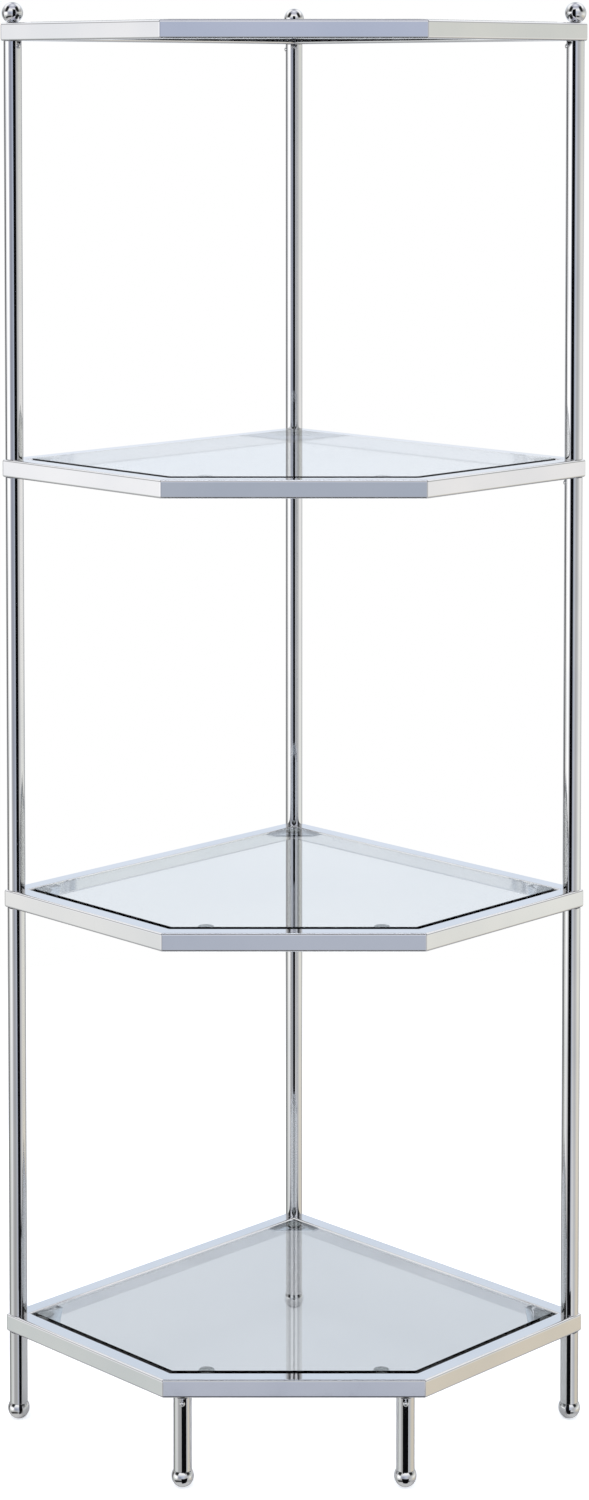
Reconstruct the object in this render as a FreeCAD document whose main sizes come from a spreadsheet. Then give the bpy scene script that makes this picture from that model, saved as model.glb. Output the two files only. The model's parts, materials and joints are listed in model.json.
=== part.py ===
import FreeCAD
import Part
import Sketcher

import math
import os

# Corner shelf with four tiers, in millimetres.
# +Z is up, +X is to the right seen from the front, and the room corner is at +Y.
# The origin lies on the floor, under the middle of the overall box.

# Driving sizes: alias, millimetres, meaning.
SIZES = (
    ("wall_length", 434.0, "outer length of each rail along a room wall"),
    ("side_length", 246.0, "outer length of each short rail, square to the wall"),
    ("shelf_pitch", 457.0, "height from one frame to the next"),
    ("bottom_height", 113.0, "floor to the top of the bottom frame"),
    ("rail_size", 19.0, "width and height of the square rail tube"),
    ("rail_wall", 1.2, "wall of the square rail tube"),
    ("rail_radius", 2.5, "rounding of the rail edges and of the frame corners"),
    ("post_diameter", 19.0, "outer diameter of the posts and legs"),
    ("post_wall", 1.2, "wall of the posts and legs"),
    ("front_leg_inset", 20.0, "front corner to the axis of the front leg"),
    ("finial_diameter", 22.4, "ball on the top frame"),
    ("finial_base", 9.0, "flat under the finial"),
    ("foot_diameter", 23.0, "ball under each leg"),
    ("foot_rest", 8.0, "flat that the ball foot stands on"),
    ("glass_thickness", 5.0, "glass pane"),
    ("glass_gap", 3.0, "gap all round between the pane and the rails"),
    ("glass_proud", 0.8, "height of the pane above the rails"),
    ("glass_corner", 3.0, "rounding of the pane corners"),
    ("glass_arris", 0.5, "ground edge of the pane"),
    ("pad_diameter", 16.0, "clear pad under the pane"),
    ("pad_thickness", 1.5, "clear pad under the pane"),
    ("pad_edge", 0.4, "rounding of the pad rim"),
    ("tab_thickness", 2.5, "steel tabs and corner plates that carry the pane"),
    ("tab_width", 18.0, "round-nosed tab on the front rail"),
    ("tab_reach", 19.0, "tab length from the rail"),
    ("tab_spacing", 178.0, "distance between the two front tabs"),
    ("plate_leg", 38.0, "corner plate, length along each rail"),
    ("plate_nose", 8.0, "corner plate, width of its square ends"),
    ("stud_diameter", 8.0, "threaded studs"),
    ("stud_grip", 11.0, "length of stud inside a plug or ball"),
    ("stud_clearance", 0.1, "gap round a stud, in radius"),
    ("plug_length", 14.0, "threaded plug in a tube end"),
    ("plug_clearance", 0.05, "gap round a plug in its tube, in radius"),
    ("pin_diameter", 5.6, "lock pin in the upper end of each tube"),
    ("pin_drop", 5.5, "frame to the middle of the lock pin"),
    ("pin_proud", 1.6, "height of the lock pin's domed end above the tube"),
    ("pin_clearance", 0.1, "gap round a lock pin, in radius"),
)

doc = FreeCAD.newDocument("corner_shelf")
sheet = doc.addObject("Spreadsheet::Sheet", "sizes")
for row, (alias, number, meaning) in enumerate(SIZES, start=1):
    sheet.set(f"A{row}", meaning)
    sheet.set(f"B{row}", str(number))
    sheet.setAlias(f"B{row}", alias)
doc.recompute()

# Places worked out from the sizes, as expressions.
# The walls meet at 90 degrees and the short rails are square to them, so the front corners are 135 degrees.
WALL_CORNER = 90.0
FRONT_CORNER = 180.0 - WALL_CORNER / 2
HALF_WIDTH = "sizes.wall_length * cos(45)"
FRONT_LENGTH = "(sizes.wall_length - sizes.side_length) * sqrt(2)"
FRONT_HALF = "(sizes.wall_length - sizes.side_length) * cos(45)"
SIDE_DEPTH = "sizes.side_length * cos(45)"
CORNER_DEPTH = "(sizes.wall_length + sizes.side_length) * cos(45)"
# The front feet reach a little past the rail, and the rounded back corner stops a little short of its point.
TOE = "max(0; sizes.foot_diameter / 2 - sizes.rail_size / 2)"
POINT_LOSS = "sizes.rail_radius * (sqrt(2) - 1)"
FRONT_Y = f"({TOE} - {CORNER_DEPTH} + {POINT_LOSS}) / 2"
SIDE_Y = f"{FRONT_Y} + {SIDE_DEPTH}"
BACK_Y = f"{FRONT_Y} + {CORNER_DEPTH}"
POST_X = f"{HALF_WIDTH} - sizes.rail_size / sqrt(2)"
POST_BACK_Y = f"{BACK_Y} - sizes.rail_size / sqrt(2)"
LEG_X = f"{FRONT_HALF} - sizes.front_leg_inset"
LEG_Y = f"{FRONT_Y} + sizes.rail_size / 2"
# Levels, counted from the top of a frame.
PANE_TOP = "sizes.glass_proud"
PANE_UNDER = f"{PANE_TOP} - sizes.glass_thickness"
TAB_TOP = f"{PANE_UNDER} - sizes.pad_thickness"
# Ball feet: height of the ball centre above the floor, and of the flat that the leg stands on.
FOOT_CENTRE = "sqrt(sizes.foot_diameter ^ 2 - sizes.foot_rest ^ 2) / 2"
FOOT_TOP = f"{FOOT_CENTRE} + sqrt(sizes.foot_diameter ^ 2 - sizes.post_diameter ^ 2) / 2"
LEG_LENGTH = f"sizes.bottom_height - sizes.rail_size - ({FOOT_TOP})"
POST_LENGTH = "sizes.shelf_pitch - sizes.rail_size"
STUD_HOLE = "sizes.stud_diameter / 2 + sizes.stud_clearance"
PIN_HOLE = "sizes.pin_diameter / 2 + sizes.pin_clearance"

TIERS = ("bottom", "lower", "upper", "top")
BAYS = ("lower", "middle", "upper")
POSTS = {
    "left": (f"-({POST_X})", SIDE_Y),
    "right": (POST_X, SIDE_Y),
    "back": ("0", POST_BACK_Y),
}
LEGS = dict(POSTS)
LEGS["front_left"] = (f"-({LEG_X})", LEG_Y)
LEGS["front_right"] = (LEG_X, LEG_Y)
# Which way the lock pin of each tube faces: degrees from the front, towards the right.
PIN_TURNS = {
    "left_post_upper": 46.0,
    "left_post_middle": 160.0,
    "left_post_lower": 170.0,
    "right_post_upper": -85.0,
    "right_post_middle": -75.0,
    "right_post_lower": 200.0,
    "back_post_upper": -80.0,
    "back_post_middle": 170.0,
    "back_post_lower": 190.0,
    "left_leg": 150.0,
    "right_leg": 210.0,
    "back_leg": 180.0,
    "front_left_leg": 0.0,
    "front_right_leg": 0.0,
}

nodes = []


def value(expression):
    """Number that an expression gives for the sizes in the sheet."""
    return float(sheet.evalExpression(expression))


def tier_level(tier):
    """Expression for the height of a frame's top face."""
    return f"sizes.bottom_height + {TIERS.index(tier)} * sizes.shelf_pitch"


def place(item, x, y, z, turn=0.0):
    """Bind an object's place to expressions, turned about the vertical by a fixed angle."""
    item.Placement = FreeCAD.Placement(FreeCAD.Vector(), FreeCAD.Rotation(FreeCAD.Vector(0, 0, 1), turn))
    item.setExpression("Placement.Base.x", x)
    item.setExpression("Placement.Base.y", y)
    item.setExpression("Placement.Base.z", z)


def new_body(label):
    body = doc.addObject("PartDesign::Body", label)
    body.Label = label
    return body


def new_sketch(body, name, role):
    """Sketch on one of the body's own origin planes."""
    sketch = body.newObject("Sketcher::SketchObject", f"{body.Name}_{name}")
    plane = next(item for item in body.Origin.OriginFeatures if item.Role == role)
    sketch.AttachmentSupport = [(plane, "")]
    sketch.MapMode = "FlatFace"
    return sketch


def bind(sketch, constraint, expression):
    index = sketch.addConstraint(constraint)
    sketch.setExpression(f"Constraints[{index}]", expression)


def hold(sketch, geometry, point, kind, expression):
    """Hold a sketch point at a distance from the origin along one axis: DistanceX or DistanceY."""
    if expression == "0":
        axis = -2 if kind == "DistanceX" else -1
        sketch.addConstraint(Sketcher.Constraint("PointOnObject", geometry, point, axis))
    else:
        distance = Sketcher.Constraint(kind, -1, 1, geometry, point, value(expression))
        bind(sketch, distance, expression)


def pin(sketch, geometry, point, x, y):
    """Hold a sketch point at a place given by two expressions."""
    hold(sketch, geometry, point, "DistanceX", x)
    hold(sketch, geometry, point, "DistanceY", y)


def outline(sketch, corners, arcs=None):
    """Closed outline through corners given as expressions.

    arcs names the stretches that are round: start corner number -> (centre x, centre y, radius).
    """
    arcs = arcs or {}
    points = [FreeCAD.Vector(value(x), value(y), 0) for x, y in corners]
    ends = []
    for number, start in enumerate(points):
        finish = points[(number + 1) % len(points)]
        if number not in arcs:
            geometry = sketch.addGeometry(Part.LineSegment(start, finish))
            ends.append((geometry, 1, 2))
            continue
        centre_x, centre_y, radius = arcs[number]
        centre = FreeCAD.Vector(value(centre_x), value(centre_y), 0)
        first = math.atan2(start.y - centre.y, start.x - centre.x)
        last = math.atan2(finish.y - centre.y, finish.x - centre.x)
        turns_left = (last - first) % (2 * math.pi) <= math.pi
        whole = Part.Circle(centre, FreeCAD.Vector(0, 0, 1), value(radius))
        angles = (first, last) if turns_left else (last, first)
        geometry = sketch.addGeometry(Part.ArcOfCircle(whole, *angles))
        ends.append((geometry, 1, 2) if turns_left else (geometry, 2, 1))
        # Both ends are pinned, so the centre has one way left to move, and is held along it.
        if abs(finish.x - start.x) > abs(finish.y - start.y):
            hold(sketch, geometry, 3, "DistanceY", centre_y)
        else:
            hold(sketch, geometry, 3, "DistanceX", centre_x)
    for number, (x, y) in enumerate(corners):
        geometry, start_point, finish_point = ends[number]
        following, next_start, _ = ends[(number + 1) % len(corners)]
        sketch.addConstraint(Sketcher.Constraint("Coincident", geometry, finish_point, following, next_start))
        pin(sketch, geometry, start_point, x, y)


def circle(sketch, x, y, radius):
    """Circle given by expressions."""
    ring = Part.Circle(FreeCAD.Vector(value(x), value(y), 0), FreeCAD.Vector(0, 0, 1), value(radius))
    geometry = sketch.addGeometry(ring)
    pin(sketch, geometry, 3, x, y)
    bind(sketch, Sketcher.Constraint("Radius", geometry, value(radius)), radius)


def pad(body, sketch, length, downward=False):
    feature = body.newObject("PartDesign::Pad", f"{sketch.Name}_pad")
    feature.Profile = sketch
    feature.setExpression("Length", length)
    feature.Reversed = downward
    return feature


def cut_through(body, sketch):
    """Pocket that goes right through, both ways from its sketch."""
    feature = body.newObject("PartDesign::Pocket", f"{sketch.Name}_cut")
    feature.Profile = sketch
    feature.Type = "ThroughAll"
    feature.Midplane = True
    return feature


def dress(body, kind, base, edge_test, size_name, expression):
    """Fillet or chamfer on the edges of a feature that pass a test."""
    doc.recompute()
    edges = [f"Edge{number}" for number, edge in enumerate(base.Shape.Edges, start=1) if edge_test(edge)]
    feature = body.newObject(kind, f"{body.Name}_{kind.split('::')[1].lower()}")
    feature.Base = (base, edges)
    feature.setExpression(size_name, expression)
    return feature


def is_upright(edge):
    """True for an edge that runs straight up."""
    first, last = edge.Vertexes[0].Point, edge.Vertexes[-1].Point
    return abs(last.z - first.z) > 0.9 * edge.Length


def is_level(edge):
    """True for an edge that stays at one height."""
    heights = [edge.BoundBox.ZMin, edge.BoundBox.ZMax]
    return heights[1] - heights[0] < 1e-6


def mitre(sketch, length, corner_angle, at_end):
    """Saw cut at one end of a rail, with the rounded outer corner that the two rails share.

    The cut runs along half the corner angle. The rail's outer face is the sketch's x axis.
    """
    half = corner_angle / 2
    reach = "2 * sizes.rail_size"
    touch = f"sizes.rail_radius / tan({half})"
    points = [
        (f"{touch} - sizes.rail_radius * cos({half})", f"sizes.rail_radius * (1 - sin({half}))"),
        (f"{reach} / tan({half})", reach),
        (f"-({reach})", reach),
        (f"-({reach})", f"-({reach})"),
        (touch, f"-({reach})"),
        (touch, "0"),
    ]
    centre_x = touch
    if at_end:
        points = [(f"{length} - ({x})", y) for x, y in points]
        centre_x = f"{length} - ({touch})"
    outline(sketch, points, {5: (centre_x, "sizes.rail_radius", "sizes.rail_radius")})


# Rails of a frame, anticlockwise from the front: start corner, heading, length, corner angles at both ends.
RAILS = {
    "front": (f"-({FRONT_HALF})", FRONT_Y, 0.0, FRONT_LENGTH, FRONT_CORNER, FRONT_CORNER),
    "right_side": (FRONT_HALF, FRONT_Y, 45.0, "sizes.side_length", FRONT_CORNER, WALL_CORNER),
    "back_right": (HALF_WIDTH, SIDE_Y, 135.0, "sizes.wall_length", WALL_CORNER, WALL_CORNER),
    "back_left": ("0", BACK_Y, 225.0, "sizes.wall_length", WALL_CORNER, WALL_CORNER),
    "left_side": (f"-({HALF_WIDTH})", SIDE_Y, 315.0, "sizes.side_length", WALL_CORNER, FRONT_CORNER),
}


def rail(tier, name):
    """Square tube, sawn to its mitres, with half of each stud hole in its square corners."""
    x, y, heading, length, start_angle, end_angle = RAILS[name]
    body = new_body(f"{tier}_rail_{name}")
    section = new_sketch(body, "section", "YZ_Plane")
    size = "sizes.rail_size"
    outline(section, [("0", f"-{size}"), (size, f"-{size}"), (size, "0"), ("0", "0")])
    near = "sizes.rail_wall"
    far = f"{size} - {near}"
    outline(section, [(near, f"-({far})"), (far, f"-({far})"), (far, f"-{near}"), (near, f"-{near}")])
    square = pad(body, section, length)
    outer = value(size)

    def is_outer_edge(edge):
        box = edge.BoundBox
        on_face = {round(box.YMin, 6), round(box.YMax, 6)} <= {0.0, outer}
        return box.XLength > 0.9 * edge.Length and on_face and round(abs(box.ZMin), 6) in (0.0, outer)

    def is_inner_edge(edge):
        box = edge.BoundBox
        inside = 0.0 < round(box.YMin, 6) and round(box.YMax, 6) < outer
        return box.XLength > 0.9 * edge.Length and inside and -outer < round(box.ZMin, 6) < 0.0

    inner_radius = "max(0.3; sizes.rail_radius - sizes.rail_wall)"
    bent = dress(body, "PartDesign::Fillet", square, is_inner_edge, "Radius", inner_radius)
    dress(body, "PartDesign::Fillet", bent, is_outer_edge, "Radius", "sizes.rail_radius")
    saw = new_sketch(body, "mitre", "XY_Plane")
    mitre(saw, length, start_angle, at_end=False)
    mitre(saw, length, end_angle, at_end=True)
    cut_through(body, saw)
    middle = "sizes.rail_size / 2"
    stud_places = []
    if start_angle == WALL_CORNER:
        stud_places.append(middle)
    if end_angle == WALL_CORNER:
        stud_places.append(f"{length} - {middle}")
    if stud_places:
        holes = new_sketch(body, "stud_holes", "XY_Plane")
        for along in stud_places:
            circle(holes, along, middle, STUD_HOLE)
        cut_through(body, holes)
    if tier == "bottom" and name == "front":
        holes = new_sketch(body, "leg_holes", "XY_Plane")
        circle(holes, "sizes.front_leg_inset", middle, STUD_HOLE)
        circle(holes, f"{length} - sizes.front_leg_inset", middle, STUD_HOLE)
        holes.AttachmentOffset = FreeCAD.Placement()
        holes.setExpression("AttachmentOffset.Base.z", "-sizes.rail_size")
        lower_wall = body.newObject("PartDesign::Pocket", f"{holes.Name}_cut")
        lower_wall.Profile = holes
        lower_wall.setExpression("Length", "2 * sizes.rail_wall")
        lower_wall.Reversed = True
    place(body, x, y, tier_level(tier), heading)
    nodes.append(body)


def glass(tier):
    """Pane inside a frame, with rounded corners and ground edges."""
    body = new_body(f"{tier}_glass")
    inset = "(sizes.rail_size + sizes.glass_gap)"
    side_x = f"{HALF_WIDTH} - {inset} * sqrt(2)"
    front_x = f"{FRONT_HALF} - {inset} / tan({FRONT_CORNER / 2})"
    plan = new_sketch(body, "plan", "XY_Plane")
    outline(plan, [
        (f"-({front_x})", f"{FRONT_Y} + {inset}"),
        (front_x, f"{FRONT_Y} + {inset}"),
        (side_x, SIDE_Y),
        ("0", f"{BACK_Y} - {inset} * sqrt(2)"),
        (f"-({side_x})", SIDE_Y),
    ])
    sheet_of_glass = pad(body, plan, "sizes.glass_thickness", downward=True)
    corners = dress(body, "PartDesign::Fillet", sheet_of_glass, is_upright, "Radius", "sizes.glass_corner")
    dress(body, "PartDesign::Chamfer", corners, is_level, "Size", "sizes.glass_arris")
    place(body, "0", "0", f"{tier_level(tier)} + {PANE_TOP}")
    nodes.append(body)


def side_hole(body, height):
    """Hole for a lock pin, drilled from the front into the middle of a tube or plug."""
    drill = new_sketch(body, "pin_hole", "XZ_Plane")
    circle(drill, "0", height, PIN_HOLE)
    feature = body.newObject("PartDesign::Pocket", f"{drill.Name}_cut")
    feature.Profile = drill
    feature.Type = "ThroughAll"
    feature.Reversed = True


def tube(label, x, y, z, length):
    """Round tube standing at a place, with the hole for its lock pin near the upper end."""
    body = new_body(label)
    section = new_sketch(body, "section", "XY_Plane")
    circle(section, "0", "0", "sizes.post_diameter / 2")
    circle(section, "0", "0", "sizes.post_diameter / 2 - sizes.post_wall")
    pad(body, section, length)
    side_hole(body, f"{length} - sizes.pin_drop")
    place(body, x, y, z, PIN_TURNS[label])
    nodes.append(body)


def ball(label, diameter, flat, top_flat, x, y, z, stud_from_top):
    """Ball turned with a flat under it, and a blind hole for its stud.

    top_flat is the diameter of the flat that a leg stands on, or None for a ball that is whole above.
    """
    body = new_body(label)
    radius = f"{diameter} / 2"
    centre = f"sqrt({diameter} ^ 2 - {flat} ^ 2) / 2"
    depth = "sizes.stud_grip + sizes.stud_clearance"
    profile = new_sketch(body, "profile", "XZ_Plane")
    if stud_from_top:
        top = f"{centre} + sqrt({diameter} ^ 2 - {top_flat} ^ 2) / 2"
        points = [
            ("0", "0"),
            (f"{flat} / 2", "0"),
            (f"{top_flat} / 2", top),
            (STUD_HOLE, top),
            (STUD_HOLE, f"{top} - ({depth})"),
            ("0", f"{top} - ({depth})"),
        ]
    else:
        points = [
            (STUD_HOLE, "0"),
            (f"{flat} / 2", "0"),
            ("0", f"{centre} + {radius}"),
            ("0", depth),
            (STUD_HOLE, depth),
        ]
    outline(profile, points, {1: ("0", centre, radius)})
    turned = body.newObject("PartDesign::Revolution", f"{label}_turned")
    turned.Profile = profile
    turned.ReferenceAxis = (profile, ["V_Axis"])
    turned.Angle = 360.0
    place(body, x, y, z)
    nodes.append(body)


def pattern(label):
    """Body that is copied into a group and isn't a node of its own."""
    body = new_body(label)
    body.Visibility = False
    return body


def group(label, copies):
    """One node of separate solids: copies of a pattern piece at (body, x, y, z, turn)."""
    solids = []
    for body, x, y, z, turn in copies:
        solid = body.Shape.copy()
        spot = FreeCAD.Vector(value(x), value(y), value(z))
        solid.Placement = FreeCAD.Placement(spot, FreeCAD.Rotation(FreeCAD.Vector(0, 0, 1), turn))
        solids.append(solid)
    feature = doc.addObject("Part::Feature", label)
    feature.Label = label
    feature.Shape = Part.makeCompound(solids)
    nodes.append(feature)


def front_tab_pattern():
    """Round-nosed steel tab that stands out from the front rail."""
    body = pattern("front_tab_pattern")
    plan = new_sketch(body, "plan", "XY_Plane")
    half = "sizes.tab_width / 2"
    shoulder = f"sizes.tab_reach - {half}"
    corners = [(f"-{half}", "0"), (half, "0"), (half, shoulder), (f"-{half}", shoulder)]
    outline(plan, corners, {2: ("0", shoulder, half)})
    pad(body, plan, "sizes.tab_thickness", downward=True)
    return body


def corner_plate_pattern():
    """Steel plate for a square corner of a frame, with its free corner cut off."""
    body = pattern("corner_plate_pattern")
    plan = new_sketch(body, "plan", "XY_Plane")
    leg = "sizes.plate_leg"
    nose = "sizes.plate_nose"
    outline(plan, [("0", "0"), (leg, "0"), (leg, nose), (nose, leg), ("0", leg)])
    pad(body, plan, "sizes.tab_thickness", downward=True)
    return body


def disc_pattern():
    """Clear round pad with a softened rim."""
    body = pattern("pad_pattern")
    plan = new_sketch(body, "plan", "XY_Plane")
    circle(plan, "0", "0", "sizes.pad_diameter / 2")
    disc = pad(body, plan, "sizes.pad_thickness")
    dress(body, "PartDesign::Fillet", disc, is_level, "Radius", "sizes.pad_edge")
    return body


def plug_pattern(label, with_pin):
    """Plug with a threaded bore, pressed into a tube end, and drilled from the side for a lock pin."""
    body = pattern(label)
    plan = new_sketch(body, "plan", "XY_Plane")
    circle(plan, "0", "0", "sizes.post_diameter / 2 - sizes.post_wall - sizes.plug_clearance")
    circle(plan, "0", "0", STUD_HOLE)
    pad(body, plan, "sizes.plug_length")
    if with_pin:
        side_hole(body, "sizes.plug_length - sizes.pin_drop")
    return body


def lock_pin_pattern():
    """Lock pin that faces the front, with a smooth domed end."""
    body = pattern("lock_pin_pattern")
    radius = "sizes.pin_diameter / 2"
    # Places along the pin, from the tube's axis outwards.
    tip = f"{STUD_HOLE} + sizes.pin_clearance"
    rim = "sizes.post_diameter / 2"
    crown = f"{rim} + sizes.pin_proud"
    dome = f"(({radius}) ^ 2 + sizes.pin_proud ^ 2) / 2 / sizes.pin_proud"
    profile = new_sketch(body, "profile", "XY_Plane")
    corners = [("0", f"-({tip})"), (radius, f"-({tip})"), (radius, f"-({rim})"), ("0", f"-({crown})")]
    outline(profile, corners, {2: ("0", f"{dome} - ({crown})", dome)})
    turned = body.newObject("PartDesign::Revolution", "lock_pin_turned")
    turned.Profile = profile
    turned.ReferenceAxis = (profile, ["V_Axis"])
    turned.Angle = 360.0
    return body


def stud_pattern(label, length):
    """Stud of a given length, standing on its lower end."""
    body = pattern(label)
    plan = new_sketch(body, "plan", "XY_Plane")
    circle(plan, "0", "0", "sizes.stud_diameter / 2")
    pad(body, plan, length)
    return body


for tier in TIERS:
    for name in RAILS:
        rail(tier, name)
    glass(tier)

for side, (x, y) in POSTS.items():
    for bay, tier in zip(BAYS, TIERS):
        tube(f"{side}_post_{bay}", x, y, tier_level(tier), POST_LENGTH)
    top_of_frame = tier_level("top")
    ball(f"{side}_finial", "sizes.finial_diameter", "sizes.finial_base", None, x, y, top_of_frame, False)

for side, (x, y) in LEGS.items():
    tube(f"{side}_leg", x, y, FOOT_TOP, LEG_LENGTH)
    ball(f"{side}_foot", "sizes.foot_diameter", "sizes.foot_rest", "sizes.post_diameter", x, y, "0", True)

front_tab = front_tab_pattern()
corner_plate = corner_plate_pattern()
disc = disc_pattern()
plug = plug_pattern("plug_pattern", with_pin=False)
pin_plug = plug_pattern("pin_plug_pattern", with_pin=True)
lock_pin = lock_pin_pattern()
# A corner stud goes through the frame and into the plug or ball on each side of it.
corner_stud = stud_pattern("corner_stud_pattern", "sizes.rail_size + 2 * sizes.stud_grip")
front_leg_stud = stud_pattern("front_leg_stud_pattern", "sizes.rail_wall + 2 * sizes.stud_grip")
foot_stud = stud_pattern("foot_stud_pattern", "2 * sizes.stud_grip")
doc.recompute()

# Inner corners of a frame, with the heading that turns a corner plate into each.
inner = "sizes.rail_size * sqrt(2)"
INNER_CORNERS = (
    ("0", f"{BACK_Y} - {inner}", 225.0),
    (f"-({HALF_WIDTH}) + {inner}", SIDE_Y, 315.0),
    (f"{HALF_WIDTH} - {inner}", SIDE_Y, 135.0),
)
tab_y = f"{FRONT_Y} + sizes.rail_size"
tab_x = "sizes.tab_spacing / 2"
pad_on_tab_y = f"{tab_y} + sizes.tab_reach - sizes.tab_width / 2"
# A pad sits on the middle of its corner plate, on the line that halves the corner.
pad_on_plate = "(sizes.plate_leg + sizes.plate_nose) / 2 / sqrt(2)"
PLATE_PADS = (
    ("0", f"{BACK_Y} - {inner} - {pad_on_plate}"),
    (f"-({HALF_WIDTH}) + {inner} + {pad_on_plate}", SIDE_Y),
    (f"{HALF_WIDTH} - {inner} - {pad_on_plate}", SIDE_Y),
)
for tier in TIERS:
    tab_level = f"{tier_level(tier)} + {TAB_TOP}"
    tabs = [(corner_plate, x, y, tab_level, turn) for x, y, turn in INNER_CORNERS]
    tabs += [(front_tab, x, tab_y, tab_level, 0.0) for x in (f"-{tab_x}", tab_x)]
    group(f"{tier}_glass_tabs", tabs)
    pads = [(disc, x, y, tab_level, 0.0) for x, y in PLATE_PADS]
    pads += [(disc, x, pad_on_tab_y, tab_level, 0.0) for x in (f"-{tab_x}", tab_x)]
    group(f"{tier}_glass_pads", pads)

# Each tube has a plain plug in its lower end, and a plug with a lock pin in its upper end.
post_plugs = []
corner_studs = []
lock_pins = []
for side, (x, y) in POSTS.items():
    for tier in TIERS:
        under_frame = f"{tier_level(tier)} - sizes.rail_size"
        corner_studs.append((corner_stud, x, y, f"{under_frame} - sizes.stud_grip", 0.0))
    for bay, lower_tier, upper_tier in zip(BAYS, TIERS, TIERS[1:]):
        turn = PIN_TURNS[f"{side}_post_{bay}"]
        under_frame = f"{tier_level(upper_tier)} - sizes.rail_size"
        post_plugs.append((plug, x, y, tier_level(lower_tier), 0.0))
        post_plugs.append((pin_plug, x, y, f"{under_frame} - sizes.plug_length", turn))
        lock_pins.append((lock_pin, x, y, f"{under_frame} - sizes.pin_drop", turn))
group("post_end_plugs", post_plugs)
group("corner_studs", corner_studs)

leg_plugs = []
foot_studs = []
under_bottom = "sizes.bottom_height - sizes.rail_size"
for side, (x, y) in LEGS.items():
    turn = PIN_TURNS[f"{side}_leg"]
    leg_plugs.append((plug, x, y, FOOT_TOP, 0.0))
    leg_plugs.append((pin_plug, x, y, f"{under_bottom} - sizes.plug_length", turn))
    lock_pins.append((lock_pin, x, y, f"{under_bottom} - sizes.pin_drop", turn))
    foot_studs.append((foot_stud, x, y, f"{FOOT_TOP} - sizes.stud_grip", 0.0))
group("leg_end_plugs", leg_plugs)
group("foot_studs", foot_studs)
group("tube_lock_pins", lock_pins)
front_studs = []
for x, y in (LEGS["front_left"], LEGS["front_right"]):
    front_studs.append((front_leg_stud, x, y, f"{under_bottom} - sizes.stud_grip", 0.0))
group("front_leg_studs", front_studs)

doc.recompute()
for item in doc.Objects:
    if "Invalid" in item.State or "Error" in item.State:
        raise RuntimeError(f"{item.Name} failed: {item.State}")
for node in nodes:
    if node.Shape.isNull() or not node.Shape.isValid():
        raise RuntimeError(f"{node.Label} has no valid shape")

os.makedirs("parts", exist_ok=True)
for node in nodes:
    node.Shape.exportStep(f"parts/{node.Label}.step")
print(len(nodes), "nodes written")
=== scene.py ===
"""Dressed model of a corner shelf: chrome tube frames, loose glass panes, ball finials and ball feet."""

import json
import logging
import math
from dataclasses import dataclass, field
from enum import Enum
from typing import Iterable, Sequence

import bpy
from mathutils import Matrix, Vector

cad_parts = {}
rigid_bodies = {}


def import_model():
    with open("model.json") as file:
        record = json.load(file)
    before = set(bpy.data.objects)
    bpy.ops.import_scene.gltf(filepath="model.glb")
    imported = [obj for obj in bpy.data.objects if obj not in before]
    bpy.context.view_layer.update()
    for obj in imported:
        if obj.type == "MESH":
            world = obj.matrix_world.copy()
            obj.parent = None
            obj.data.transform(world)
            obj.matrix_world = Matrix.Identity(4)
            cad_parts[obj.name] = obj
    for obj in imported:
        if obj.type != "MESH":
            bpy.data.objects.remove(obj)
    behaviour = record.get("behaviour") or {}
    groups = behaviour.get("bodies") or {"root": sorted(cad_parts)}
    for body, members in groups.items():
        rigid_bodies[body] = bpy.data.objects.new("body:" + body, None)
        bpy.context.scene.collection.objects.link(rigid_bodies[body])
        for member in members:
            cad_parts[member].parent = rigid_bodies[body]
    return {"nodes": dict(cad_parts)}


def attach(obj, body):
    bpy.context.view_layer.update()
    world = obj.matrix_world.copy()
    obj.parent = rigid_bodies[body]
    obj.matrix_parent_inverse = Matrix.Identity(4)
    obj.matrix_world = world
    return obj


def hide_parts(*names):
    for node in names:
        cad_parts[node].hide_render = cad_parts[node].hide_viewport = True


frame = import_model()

LOG = logging.getLogger("corner_shelf")
MM = 0.001
SAME_PLACE = 1e-9
FRAME_BODY = "frame"

# Corner angles of the frames in plan, in degrees
WALL_ANGLE = 90.0
FRONT_ANGLE = 135.0

# Bearing of the back, either way round, in degrees
HALF_TURN = 180.0

# Places of the colour sockets on a Mix node
MIX_FIRST = 6
MIX_SECOND = 7
MIX_RESULT = 2

# Limits that a Math node compares a ray's counts with; a pane counts twice, once for each face
ONE_BOUNCE = 0.5
TWO_BOUNCES = 1.5
PAST_ONE_PANE = 2.5

Socket = bpy.types.NodeSocket
Colour = tuple[float, float, float, float]
Shade = float | tuple[float, float, float]
Card = tuple[float, Shade]
Point = tuple[float, float]


class Tier(Enum):
    """The four shelves, with their place counted from the floor."""

    BOTTOM = 0
    LOWER = 1
    UPPER = 2
    TOP = 3

    @property
    def word(self) -> str:
        """Name that the CAD nodes of this tier start with."""
        return self.name.lower()


class Bay(Enum):
    """The three spaces between the shelves, with the tier that each stands on."""

    LOWER = 0
    MIDDLE = 1
    UPPER = 2


class Corner(Enum):
    """Places where a tube stands."""

    LEFT = "left"
    RIGHT = "right"
    BACK = "back"
    FRONT_LEFT = "front_left"
    FRONT_RIGHT = "front_right"


POST_CORNERS = (Corner.LEFT, Corner.RIGHT, Corner.BACK)


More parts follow.
